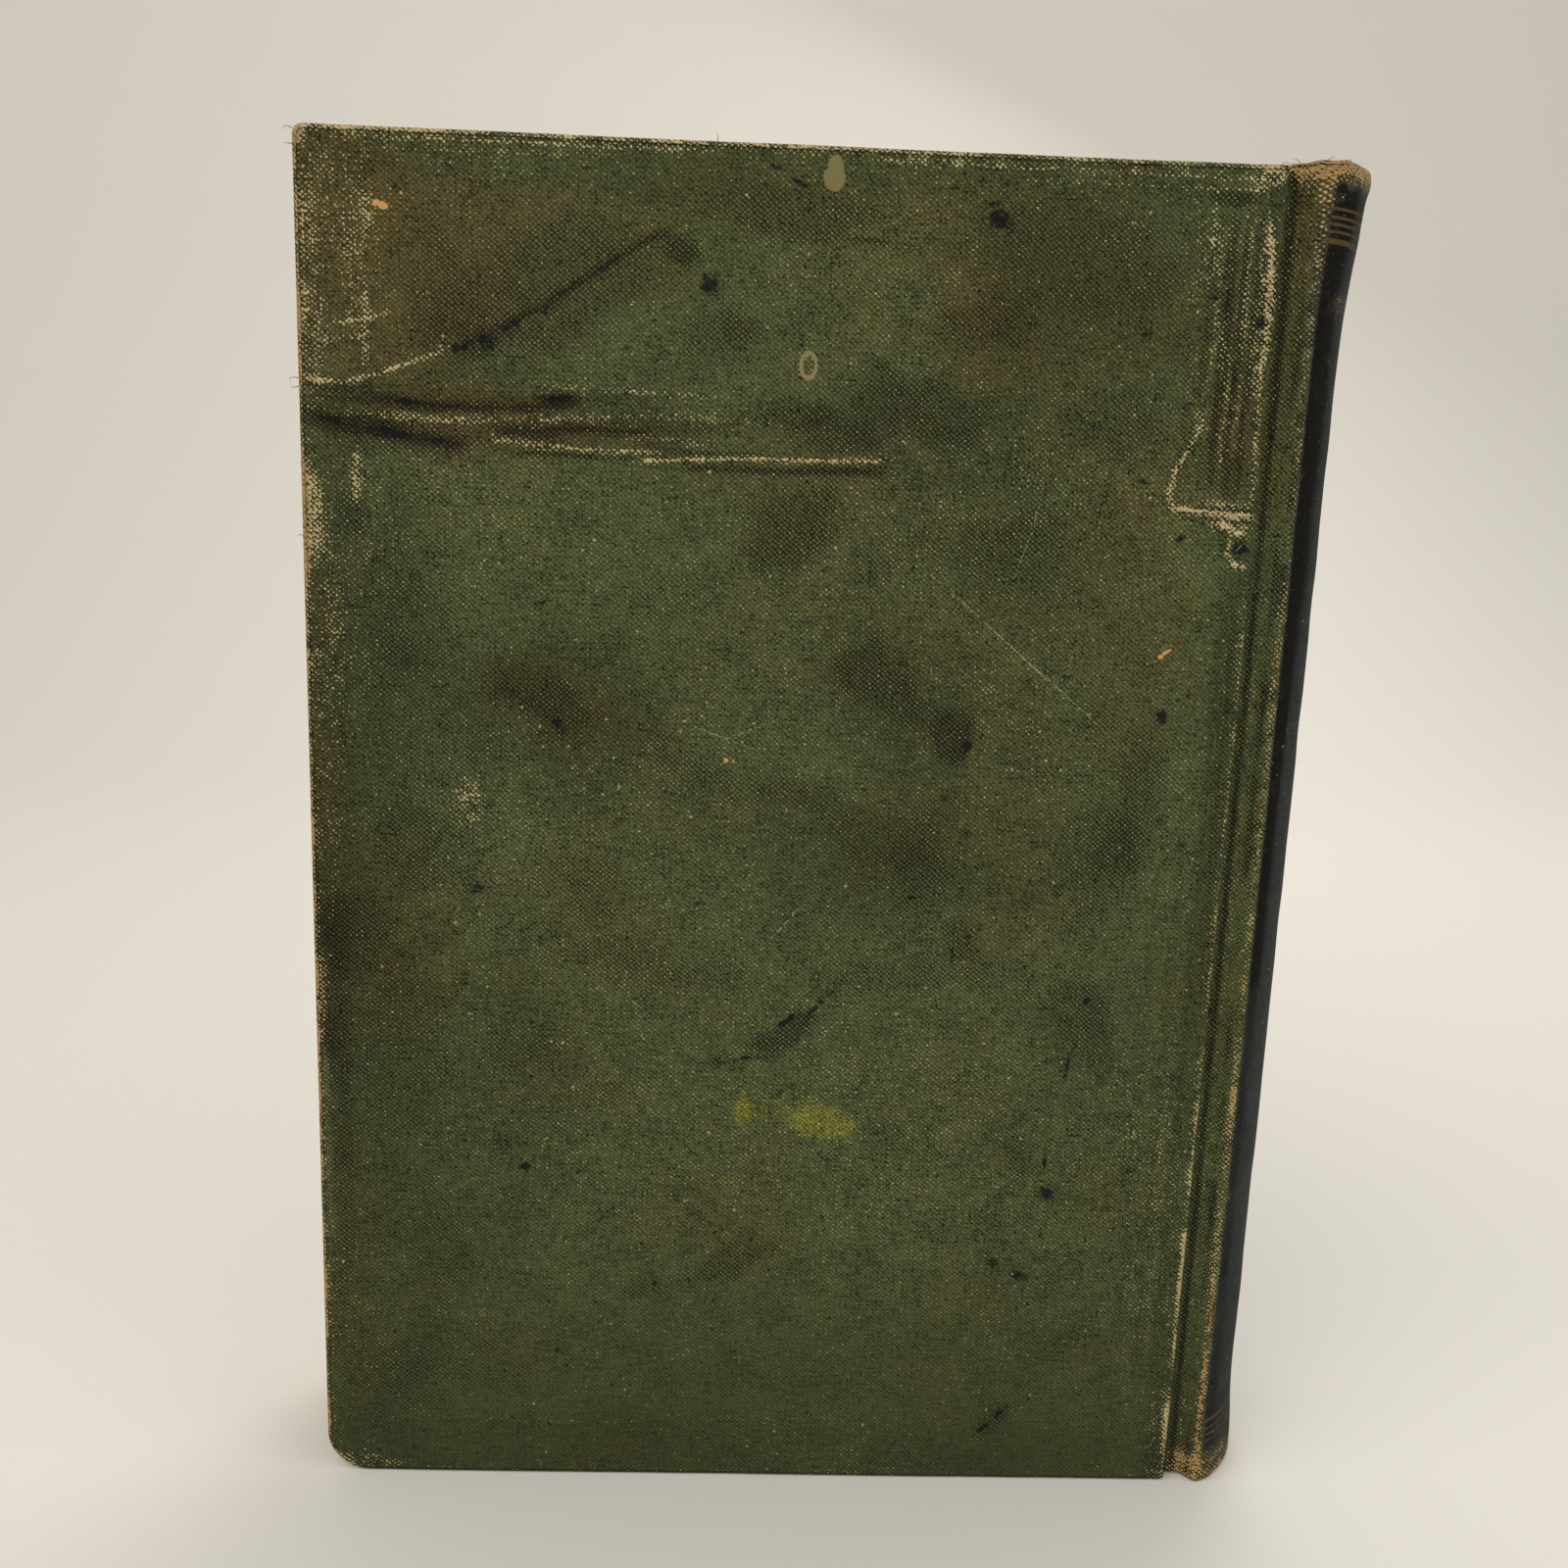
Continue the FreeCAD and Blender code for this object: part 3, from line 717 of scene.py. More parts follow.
        (34, 143.5, 3.0, 0.6, -35, 0.85), (137, 146, 2.4, 0.5, -20, 0.85),
        (147.5, 197, 0.4, 3.0, 0, 0.85), (145.3, 209, 0.4, 3.4, 0, 0.85), (155.2, 91, 0.7, 0.9, 20, 1),
        (153.0, 229.6, 1.0, 0.7, 30, 1), (156.5, 189, 0.7, 0.7, 0, 1), (55.6, 203.2, 0.8, 0.4, 20, 1),
    ],
}
# lines of wear, with painted highlight along the raised creases and painted shadow under them: fold or
# points, half width, strength
backLines = {
    "rubAndHighlight": [
        # along the raised folds named here the rub is worn thread tops and also painted highlight on their
        # upper edges
        ("upperCrease", 0.5, 0.75), ("topNick", 0.45, 0.55), ("midNick", 0.42, 0.5),
        ("bandTop", 0.5, 0.4), ("lowCrease", 0.6, 0.6), ("lowCreaseTwin", 0.4, 0.55),
        ("longCrease", 0.45, 0.8), ("bandSwell", 0.8, 0.25), ("dentSide", 0.55, 0.75),
        ("dentFoot", 0.6, 0.9), ("dentTwin", 0.4, 0.7), ("dentLip", 0.7, 0.7), ("dentRing", 0.55, 0.85),
        ([(10.7, 206), (10.7, 195)], 0.5, 0.42), ([(12.8, 216), (12.7, 206)], 0.45, 0.36),
        ([(142.0, 97), (143.5, 22)], 0.7, 0.1), ([(146.5, 97), (147.5, 22)], 0.6, 0.12),
        ([(8.7, 181.5), (8.9, 173)], 0.7, 0.3),
        ([(150.9, 221), (151.8, 214), (152.0, 204), (151.5, 196)], 0.7, 0.5),
        ([(151.6, 197), (151.9, 190), (152.3, 178)], 0.5, 0.5),
        ([(147.9, 226), (148.3, 200)], 0.45, 0.28), ([(145.0, 223), (145.2, 198)], 0.4, 0.25),
        ([(142.2, 226), (142.6, 212)], 0.4, 0.3), ([(8, 228.3), (64, 228.4)], 0.35, 0.5),
        ([(12, 226.9), (52, 227.0)], 0.3, 0.45), ([(86, 228.2), (150, 227.6)], 0.4, 0.48),
        ([(112, 226.2), (150, 226.0)], 0.35, 0.4),
    ],
    "dull": [
        ([(145.6, 130), (145.9, 20)], 0.9, 0.2), ([(148.9, 165), (149.4, 20)], 1.0, 0.2),
        ([(141.9, 118), (142.2, 30)], 0.7, 0.16),
    ],
    "brown": [
        ("foldLine", 1.3, 1.0), ("bandDark", 2.2, 1.0), ("bandMiddle", 1.4, 1.0), ("bandLow", 1.6, 0.8),
        ([(80.2, 216.9), (84.2, 216.7), (92, 215.9), (94.4, 214.7)], 0.6, 0.9),
    ],
    # the soil lines just under a raised crease, below upperCrease, bandTop, lowCrease, lowCreaseTwin,
    # longCrease, dentTwin and dentFoot, are painted shadow; the others are dirt
    "soilAndShadow": [
        ("foldLine", 0.9, 1.0), ("bandDark", 1.5, 1.0), ("bandMiddle", 0.7, 1.0), ("bandLow", 0.7, 1.0),
        ([(142, 177.4), (152.8, 177.0)], 0.35, 0.9), ([(151.0, 165), (151.4, 96)], 1.0, 0.5),
        ([(2, 189.8), (12, 189.2)], 0.5, 0.8), ([(34, 182.3), (52, 181.8)], 0.5, 0.8),
        ([(30, 190.6), (56, 190.9)], 0.5, 0.5), ("longUnder", 0.8, 0.85),
        ([(80.2, 216.9), (84.2, 216.7), (92, 215.9), (94.4, 214.7)], 0.6, 0.7),
        ([(64, 79.8), (72.6, 80.8), (81, 82)], 0.7, 0.5),
        ([(2, 191.2), (7, 190.6), (12, 192.0)], 0.6, 0.8), ([(140.5, 175.6), (152, 175.2)], 0.5, 0.6),
        ([(54, 184.0), (66, 182.9)], 0.4, 0.7),
    ],
}
# lines of wear, dirt and painted shadow up the joint: how far past the board's spine edge, and half width
jointLines = {
    "besideEdge": (-1.8, 3.0),
    "boardEdge": (-0.35, 0.85),
    # painted shadow: the wall line darkens the groove floor just past the board's edge, where the edge casts
    # its shade
    "wall": (3.0, 0.65),
    "floor": (4.1, 0.4),
    "lowFloor": (4.8, 1.2),
    "underRidge": (5.9, 0.5),
    "slopeFoot": (6.0, 0.8),
    "onRidge": (7.4, 0.8),
    "crest": (7.5, 1.3),
}
# where the board's spine edge is rubbed: height, half height, strength
edgeStretches = [
    (78, 17, 0.8), (108, 9, 0.35), (130, 10, 0.4), (152, 12, 0.45), (46, 13, 0.8), (22, 16, 0.75),
    (4, 8, 0.6),
]


def outInEllipse(du, dv, halfU, halfV, tilt):
    # how far out a place is in a tilted ellipse, 1 on its rim
    turn = math.radians(tilt)
    a = (du * math.cos(turn) + dv * math.sin(turn)) / halfU
    b = (dv * math.cos(turn) - du * math.sin(turn)) / halfV
    return np.hypot(a, b)


def softSpots(spots, u, v):
    # how strongly soft-edged ellipses cover each place, their outlines wandering as a smudge's does
    cover = np.zeros(u.shape)
    strayU, strayV = (ripple(seed, u, v, 7) + 0.5 * ripple(seed + 1, u, v, 2.8) for seed in (65, 67))
    for cu, cv, halfU, halfV, tilt, strength in spots:
        loose = 0.35 * min(halfU, halfV)
        far = outInEllipse(u - cu + loose * strayU, v - cv + loose * strayV, halfU, halfV, tilt)
        cover = cover + (1 - cover) * strength * (1 - rise(far, 0.5, 1.2))
    return cover


def crispSpots(spots, u, v):
    # 0.5 on the rim of each ellipse and 1 in its middle, so that the shader can cut it sharply
    cover = np.zeros(u.shape)
    for cu, cv, halfU, halfV, tilt, strength in spots:
        cover = np.maximum(cover, strength * (1 - 0.5 * outInEllipse(u - cu, v - cv, halfU, halfV, tilt)))
    return cover


def softLines(lines, u, v):
    # how strongly lines of wear cover each place
    cover = np.zeros(u.shape)
    for line, half, strength in lines:
        far, along = nearStroke(folds[line] if isinstance(line, str) else line, u, v)
        ends = band(along, -0.06, 0.08, 0.92, 1.06)
        cover = np.maximum(cover, strength * ends * bell(far, 0, half))
    return cover


def wearFields(side, flat):
    # how rubbed, soiled, browned and blotted the cloth is at each point, each from 0 to 1. The rub values
    # also hold painted highlight along raised creases, the soil values painted shadow under them and in the
    # groove, and the grit values painted shade towards the tail
    u, v = flat[:, 0], flat[:, 1]
    past = u - coverWidth
    line = {name: bell(past, *place) for name, place in jointLines.items()}
    high, crest = book["coverHeight"], clothShape["crest"]
    upJoint, upperHalf, lowDown = rise(v, 150, 195), rise(v, 95, 115), 1 - rise(v, 50, 70)

    # the edges, with how far in a place is from the fore-edge and from the round tail corner
    corner = clothShape["wornCorner"]
    inCorner = (u < corner) & (v < corner)
    inFrom = np.where(inCorner, corner - np.hypot(corner - u, corner - v), u)
    fore = 0.2 * fade(u, 2.6) * (0.55 + 0.45 * rise(v, 60, 170))
    fore += 0.92 * bell(np.clip(inFrom - 0.1, 0, None), 0, 0.9) * (1 - 0.8 * rise(u, 4, 8))
    fore *= 1 - rise(-inFrom, 3.5, 5)
    edges = fore + 0.85 * fade(high - 0.5 - v, 0.6) + 0.35 * fade(v - 0.3, 0.9)

    # the board's spine edge is worn in stretches, the ridge nearly all the way
    stretches = sum(strength * bell(v, middle, half) for middle, half, strength in edgeStretches)
    stretches = stretches * (0.8 + 0.5 * ripple(46, u * 0, v, 4))
    boardEdge = 1.3 * line["boardEdge"] * (0.2 + 0.8 * stretches) * (1 - upJoint)
    along = np.clip(0.8 + 0.35 * ripple(47, u * 0, v, 19) + 0.3 * ripple(48, u * 0, v, 3), 0.1, 1.2)
    along = along * (0.82 + 0.35 * ripple(58, u, v, 0.9))
    along = along * (1 - 0.3 * rise(v, 194, 212)) * (1 - 0.15 * upperHalf)
    ridge = 1.1 * along * bell(past, crest + 0.25 * (1 - lowDown), 0.8 + 0.15 * lowDown)
    patchy = 0.75 + 0.35 * ripple(41, u, v, 11) + 0.25 * ripple(43, u, v, 3.5)
    rubAndHighlight = patchy * (edges + boardEdge + ridge + 0.26 * line["floor"] * (1 - upJoint))

    # golden at the head of the joint, bare at the cap and at the foot
    gold = rise(v, 196, 226) * band(past, 1.5, 3.5, crest - 0.5, crest + 3)
    capEdge = high - 4.0 + 1.2 * ripple(49, u, u * 0, 1.7) + 0.5 * ripple(50, u, v, 0.8)
    cap = rise(v, capEdge, high - 1.8) * rise(past, 0.5, 3)
    footEdge = 5.5 + 1.6 * ripple(68, u, u * 0, 2.6)
    foot = (1 - rise(v, footEdge - 2, footEdge + 2)) * rise(past, 0.3, 2.5)
    frays = 0.5 + 0.5 * ripple(54, u, v, 1.3)
    rubAndHighlight = rubAndHighlight + 0.16 * gold + 0.36 * line["lowFloor"] * (1 - rise(v, 5, 27)) * frays
    rubAndHighlight = rubAndHighlight + 0.45 * (cap + 1.8 * foot) * (0.45 + 0.55 * frays)

    # the spine is blackest just past the ridge, slate further round, scuffed at head and foot
    scuffs = rise(ripple(51, u * 0.5, v, 3.0) + 0.6 * ripple(52, u, v, 1.6), 0.2, 1.2)
    scuffs = scuffs * (0.35 + 0.65 * np.maximum(rise(v, 190, 215), 1 - rise(v, 6, 26)))
    onSpine = rise(past, crest + 0.6, crest + 1.5)
    rubAndHighlight = rubAndHighlight + 0.3 * scuffs * onSpine
    deep = bell(past, crest + 2.8, 1.6 + 2.2 * rise(v, 140, 165)) * (0.3 + 0.7 * rise(v, 90, 105))
    ink = onSpine * (1 - 0.2 * scuffs) + 1.3 * deep * (0.75 + 0.3 * ripple(56, u, v, 9))
    ink = ink + 0.5 * line["underRidge"] * rise(ripple(55, u * 0, v, 9), 0.0, 0.6)
    ink = ink * (1 - 0.9 * cap) * (1 - 0.9 * foot)

    joint = band(past, -0.1, 0.7, crest - 2.2, crest - 0.8)
    streaks = 0.5 + 0.5 * ripple(53, u * 3, v, 13)
    slopeFoot = line["slopeFoot"] * rise(ripple(55, u * 0, v, 8) - 0.6 * lowDown, -0.9, 0.3)
    # the wall line here paints the shadow on the groove floor beside the board's edge; the joint streaks are
    # dirt
    soilAndShadow = 0.35 * joint * streaks * (0.4 + 0.6 * upJoint) + 0.85 * line["wall"]
    soilAndShadow = soilAndShadow + 0.8 * slopeFoot * (1 - gold) + 0.5 * cap * (1 - frays)
    soilAndShadow = soilAndShadow + line["onRidge"] * upperHalf * rise(ripple(64, u, v, 2.4), 0.0, 0.5)
    brown = 0.9 * cap + 0.6 * gold + 0.45 * foot + 0.35 * joint * upJoint
    tan = line["crest"] + 0.5 * cap + 0.5 * gold + 0.9 * foot + fade(u, 1.2)
    # the wall line here darkens the groove floor as painted shadow too
    dull = 0.25 * line["wall"] + 0.15 * cap + 0.26 * line["besideEdge"] * (1 + 0.45 * upperHalf)
    blot = stain = np.zeros(u.shape)
    if side == back:
        spots = {kind: softSpots(backWear[kind], u, v) for kind in ("rubAndHighlight", "soilAndShadow", "brown", "dull", "stain")}
        lines = {kind: softLines(marks, u, v) for kind, marks in backLines.items()}
        rubAndHighlight = rubAndHighlight + spots["rubAndHighlight"] + lines["rubAndHighlight"]
        soilAndShadow = np.maximum(soilAndShadow + spots["soilAndShadow"], lines["soilAndShadow"])
        brown = np.maximum(brown + spots["brown"], lines["brown"])
        dull = dull + spots["dull"] + lines["dull"]
        blot, stain = crispSpots(backWear["blot"], u, v), spots["stain"]
    elif side == front:
        soilAndShadow = soilAndShadow + 0.5 * rise(ripple(57, u, v, 26), 0.1, 0.8)
        brown = brown + 0.5 * rise(ripple(59, u, v, 40), -0.2, 0.8)
        dull = dull + 0.25 * rise(ripple(60, u, v, 45), -0.2, 0.8)
    soilAndShadow = soilAndShadow + 0.25 * rise(ripple(61, u, v, 17), 0.2, 1.0)
    # this value sets how strongly specks and thread shading show: little near the tail, which stayed smooth.
    # It also darkens the cloth towards the tail, as painted shade
    grit = 0.35 + 0.65 * rise(v, 12, 60) + 0.2 * ripple(63, u, v, 30)
    fields = {name: np.clip(field, 0, 1) for name, field in
              (("rubAndHighlight", rubAndHighlight), ("soilAndShadow", soilAndShadow), ("brown", brown), ("tan", tan))}
    fields.update(ink=ink, grit=grit, dull=dull, blot=blot, stain=stain)
    return fields


clothLook = {
    # plain weave: warp threads 0.48 mm apart and weft threads 0.42 mm, each thread on top at every
    # second crossing, so that the bright tops lie on diagonals
    "warpPitch": 0.48,
    "weftPitch": 0.42,
    "green": "#4C5434",
    "olive": "#51492A",
    # dark dirt, also the colour of the painted shadows under raised creases and in the groove
    "soilAndShadow": "#1D1D12",
    "speck": "#989868",
    "bareThread": "#B3A076",
    # bare cotton, also the colour of the painted highlight along raised creases
    "goldThread": "#9E8153",
    "rubbedGround": "#554A33",
    "spineSlate": "#2F3333",
    "spineBlack": "#050403",
    "blotBlack": "#101114",
    "yellowStain": "#77762C",
    "driedDrop": "#857C54",
    "paleScratch": "#9C9874",
    "orangeSpeck": "#C79458",
    "dullGilt": "#6A5433",
}
# small marks with sharp rims: (u, v, half length, half width, tilt in degrees)
sharpMarks = {
    "drop": [(82.7, 225.2, 1.8, 2.1, 0), (82.8, 226.5, 1.45, 2.2, 0)],
    "ring": [(79.8, 197.2, 1.5, 2.3, 0)],
    "orange": [(13.7, 218.5, 0.9, 0.6, -15), (12.6, 218.9, 0.6, 0.5, 20), (140.4, 153.8, 0.9, 0.3, 30),
               (139.5, 153.0, 0.5, 0.35, 0), (68.5, 133.5, 0.45, 0.35, 0)],
}
# rules across the spine: height above the tail and half width
spineRules = [(223.8, 0.22), (222.5, 0.22), (221.5, 0.22), (220.4, 0.2), (219.0, 0.4),
              (12.2, 0.36), (10.6, 0.2), (9.4, 0.2), (8.2, 0.2)]
scratches = [
    ([(103, 163.5), (132.3, 139.4)], 0.2),
    ([(69.0, 137.5), (75.9, 140.0)], 0.16),
    ([(62, 139.5), (71, 136.2)], 0.14),
    ([(117.4, 176.4), (117.1, 173.2), (114.4, 165.0)], 0.13),
    ([(77.5, 103.5), (81.0, 107.6)], 0.16),
]


# noises of the cloth: how fine across and up, octaves, roughness
clothNoise = {
    "sway": (0.6, 0.6, 3, 0.5),
    "weftSlub": (0.3, 2.4, 2, 0.5),
    "warpSlub": (2.4, 0.3, 2, 0.5),
    # mottling of 8 mm, flecks of 1.2 mm and dust of 0.4 mm
    "broad": (0.03, 0.03, 3, 0.5),
    "mottle": (0.13, 0.13, 6, 0.7),
    "fleck": (0.8, 0.8, 4, 0.78),
    "fine": (2.4, 2.4, 2, 0.5),
}
# what lies over the green dye, from the lowest: the values that it follows and their weights, where it
# begins and is full, how much it then hides, and its colour
clothLayers = {
    "underGrain": [
        ({"broad": 1.8, "mottle": 1.1, "fleck": 0.6, "brown": 1.0}, 1.65, 2.7, 1.0, "olive"),
        # soil, which also lays the painted shadows under raised creases and in the groove: dark and ragged,
        # with the weave still showing
        ({"mottle": 2.4, "fleck": 2.8, "fine": 2.2, "weftSlub": 0.8, "crown": -0.7, "soilAndShadow": 1.2,
          "grit": 0.2}, 4.6, 5.15, 0.9, "soilAndShadow"),
        # the spine took most of the light and handling: nearly black, slate where it is less worn
        ({"fleck": 0.9, "mottle": 0.5, "ink": 1.0}, 1.05, 1.55, 1.0, "spineSlate"),
        ({"fleck": 0.9, "mottle": 0.5, "ink": 1.0}, 1.65, 2.15, 1.0, "spineBlack"),
        ({"rubAndHighlight": 1.0}, 0.0, 1.0, 0.7, "rubbedGround"),
        ({"fleck": 0.7, "stain": 1.0}, 0.4, 1.3, 0.9, "yellowStain"),
    ],
    "overGrain": [
        # plain tooled rules across the spine, their gilding nearly gone
        ({"rule": 1.0, "fleck": 1.6, "fine": 0.6, "ink": 0.4}, 2.3, 2.7, 0.6, "dullGilt"),
        # loose dirt and lint: crisp dots a few tenths of a millimetre across
        ({"dirtDot": 1.0, "fine": 0.12, "grit": 0.03, "ink": -0.02}, 0.04, 0.08, 0.8, "blotBlack"),
        ({"lintDot": 1.0, "fine": 0.12, "grit": 0.03, "ink": -0.02}, 0.04, 0.08, 0.8, "bareThread"),
        # crisp black smudges
        ({"fleck": 2.2, "fine": 0.5, "blot": 1.0}, 1.86, 2.06, 0.93, "blotBlack"),
    ],
    # dried drops, scratches and specks
    "backOnly": [
        ({"ring": 1.0}, 0.0, 1.0, 1.0, "driedDrop"),
        ({"drop": 1.0}, 1.0, 0.86, 0.75, "driedDrop"),
        ({"fine": -2.0, "fleck": -1.5, "scratch": 0.5}, -1.3, -1.7, 0.7, "paleScratch"),
        ({"orange": 1.0}, 1.05, 0.85, 1.0, "orangeSpeck"),
    ],
}


def weighted(tree, parts, base=0.0):
    # the sum of several values, each with its weight
    total = base
    for value, weight in parts:
        total = addNode(tree, "Math", {0: value, 1: weight, 2: total}, operation="MULTIPLY_ADD")
    return total


def nearestMark(tree, place, marks):
    # distance to the nearest of some ellipses, 1 on a rim
    nearest = None
    for u, v, long, wide, tilt in marks:
        turned = addNode(tree, "Mapping", {"Vector": place, "Location": (u, v, 0),
                                           "Rotation": (0, 0, math.radians(tilt)),
                                           "Scale": (long, wide, 1)}, vector_type="TEXTURE")
        far = addNode(tree, "VectorMath", {0: turned}, operation="LENGTH").outputs["Value"]
        if nearest is not None:
            far = addNode(tree, "Math", {0: nearest, 1: far}, operation="MINIMUM")
        nearest = far
    return nearest


def lineMarks(lines):
    # long thin ellipses along lines of points
    marks = []
    for points, half in lines:
        for a, b in zip(points, points[1:]):
            tilt = math.degrees(math.atan2(b[1] - a[1], b[0] - a[0]))
            marks.append(((a[0] + b[0]) / 2, (a[1] + b[1]) / 2, math.dist(a, b) * 0.56, half, tilt))
    return marks


def followed(tree, values, weights, base=0.0):
    # the sum of several named values, each with its weight
    return weighted(tree, [(values[name], weight) for name, weight in weights.items()], base)


def layOver(tree, dyed, values, look, layers):
    # lays some of the clothLayers over a colour
    for weights, begins, full, most, colour in layers:
        amount = followed(tree, values, weights)
        amount = addNode(tree, "MapRange", {"Value": amount, "From Min": begins, "From Max": full,
                                            "To Max": most})
        dyed = addNode(tree, "Mix", {0: amount, 6: dyed, 7: look[colour]}, data_type="RGBA").outputs[2]
    return dyed


def dullSurface(tree, colour, roughness, height, depth, gloss=0.5):
    # a matte surface with relief so many millimetres deep
    bump = addNode(tree, "Bump", {"Height": height, "Distance": depth * mm})
    shader = addNode(tree, "BsdfPrincipled", {"Base Color": colour, "Roughness": roughness, "IOR": 1.5,
                                              "Specular IOR Level": gloss, "Normal": bump})
    addNode(tree, "OutputMaterial", {"Surface": shader})


def bookCloth(name, marked=False):
    # starched plain-weave book cloth, dyed green: dull, with a thread grain that catches light.
    # Where handling has rubbed the dye off the thread tops, bare tan cotton shows as specks.
    material, tree = newMaterial(name)
    look = {part: linear(value) for part, value in clothLook.items() if isinstance(value, str)}
    flat = addNode(tree, "UVMap", uv_map="flatCloth")
    values = {field: addNode(tree, "Attribute", attribute_name=field).outputs["Fac"]
              for field in ("rubAndHighlight", "ink", "soilAndShadow", "brown", "tan", "dull", "blot", "grit", "stain")}
    for noise, (across, up, octaves, rough) in clothNoise.items():
        scaled = addNode(tree, "Mapping", {"Vector": flat, "Scale": (across, up, 1)})
        values[noise] = addNode(tree, "TexNoise", {"Vector": scaled, "Scale": 1.0, "Detail": octaves,
                                                   "Roughness": rough})

    # threads that wander a little, their crowns on two sets of diagonals
    swayed = addNode(tree, "VectorMath", {0: values["sway"].outputs["Color"], 1: (0.8, 0.8, 0), 2: flat},
                     operation="MULTIPLY_ADD")
    diagonals = []
    for lean in (1, -1):
        pitches = (1 / clothLook["warpPitch"], lean / clothLook["weftPitch"], 1)
        crossing = addNode(tree, "Mapping", {"Vector": swayed, "Scale": pitches})
        diagonals.append(addNode(tree, "TexWave", {"Vector": crossing, "Scale": math.pi / 10},
                                 bands_direction="DIAGONAL").outputs["Fac"])
    crossed = addNode(tree, "Math", {0: diagonals[0], 1: diagonals[1]}, operation="MULTIPLY")
    values["crown"] = weighted(tree, [(crossed, 0.8), (diagonals[0], 0.2)])

    # darker towards the tail as painted shade, darker in broad patches, and darker on the groove floor
    # beside the board's edge as painted shadow
    shadeAndDullingFactor = followed(tree, values, {"grit": 0.38, "dull": -0.8}, 0.62)
    # thread shading: darker between the threads, most in soiled cloth and in the painted shadows under
    # creases and in the groove
    grain = followed(tree, values, {"crown": 0.52, "weftSlub": 0.7, "warpSlub": 0.6, "fleck": 0.9,
                                    "fine": 1.2, "mottle": 0.8})
    shade = addNode(tree, "MapRange", {"Value": grain, "From Min": 1.84, "From Max": 2.69,
                                       "To Min": 0.05, "To Max": 1.95})
    # worn thread tops, sparse over the field and dense where the cloth is rubbed; along raised creases they
    # are also painted highlight
    worn = followed(tree, values, {"crown": 0.4, "weftSlub": 0.4, "warpSlub": 0.4, "fleck": 1.0, "fine": 1.2,
                                   "mottle": 0.5, "rubAndHighlight": 0.66, "grit": 0.12, "ink": -0.1})
    isTop = addNode(tree, "MapRange", {"Value": worn, "From Min": 2.37, "From Max": 2.5, "To Max": 0.95})
    topColour = look["speck"]
    for field, colour in (("rubAndHighlight", "bareThread"), ("tan", "goldThread")):
        strength = addNode(tree, "Math", {0: values[field], 1: values["rubAndHighlight"]}, operation="MULTIPLY")
        strength = addNode(tree, "MapRange", {"Value": strength, "From Max": 0.7})
        topColour = addNode(tree, "Mix", {0: strength, 6: topColour, 7: look[colour]},
                            data_type="RGBA").outputs[2]

    dyed = layOver(tree, look["green"], values, look, clothLayers["underGrain"])
    depth = followed(tree, values, {"grit": 0.45, "soilAndShadow": 0.3}, 0.4)
    for amount, over, blend in ((1.0, shadeAndDullingFactor, "MULTIPLY"), (depth, shade, "MULTIPLY"),
                                (isTop, topColour, "MIX"),
                                (weighted(tree, [(isTop, 0.5)]), shade, "MULTIPLY")):
        dyed = addNode(tree, "Mix", {0: amount, 6: dyed, 7: over}, data_type="RGBA",
                       blend_type=blend).outputs[2]

    up = addNode(tree, "SeparateXYZ", {"Vector": flat}).outputs["Y"]
    up = weighted(tree, [(values["fleck"], 0.3), (up, 1.0)], -0.15)
    rules = [addNode(tree, "Math", {0: up, 1: v, 2: half}, operation="COMPARE") for v, half in spineRules]
    values["rule"] = weighted(tree, [(rule, 1.0) for rule in rules])
    cells = addNode(tree, "TexVoronoi", {"Vector": swayed, "Scale": 0.62})
    pick = addNode(tree, "SeparateColor", {"Color": cells.outputs["Color"]})
    for dot, channel, need, reach in (("dirtDot", "Red", 0.42, 0.17), ("lintDot", "Green", 0.8, 0.12)):
        chosen = addNode(tree, "MapRange", {"Value": pick.outputs[channel], "From Min": need,
                                            "From Max": 1.0, "To Max": reach})
        values[dot] = weighted(tree, [(cells.outputs["Distance"], -1.0), (chosen, 1.0)])
    dyed = layOver(tree, dyed, values, look, clothLayers["overGrain"])

    if marked:
        stray = values["fleck"].outputs["Color"]
        ragged = addNode(tree, "VectorMath", {0: stray, 1: (0.9, 0.9, 0), 2: flat},
                         operation="MULTIPLY_ADD")
        place = addNode(tree, "VectorMath", {0: ragged, 1: (0.45, 0.45, 0)}, operation="SUBTRACT")
        for mark, ellipses in sharpMarks.items():
            values[mark] = nearestMark(tree, place, ellipses)
        values["ring"] = addNode(tree, "Math", {0: values["ring"], 1: 0.8, 2: 0.16}, operation="COMPARE")
        values["scratch"] = nearestMark(tree, flat, lineMarks(scratches))
        dyed = layOver(tree, dyed, values, look, clothLayers["backOnly"])

    height = followed(tree, values, {"crown": 0.6, "weftSlub": 0.8, "warpSlub": 0.8, "fleck": 1.0})
    dullSurface(tree, dyed, 0.75, height, 0.08, gloss=0.1)
    return material


paperLook = {
    # leaf edges of 0.1 mm are drawn 0.3 mm apart, since finer lines would vanish in a render
    "leafPitch": 0.3,
    "leafEdge": "#B9A478",
    "leafEdgeDark": "#7C6743",
    # pale fibres, and patches browned by damp
    "endpaper": ("#C6B78F", "#A38B5E"),
    "strawboard": ("#8D7A55", "#5F5035"),
    "card": ("#8A7B60", "#5C4E38"),
    "kraft": ("#7A5E3C", "#4E3B24"),
    "mull": "#B5A88A",
    "mullGap": "#5E543F",
}


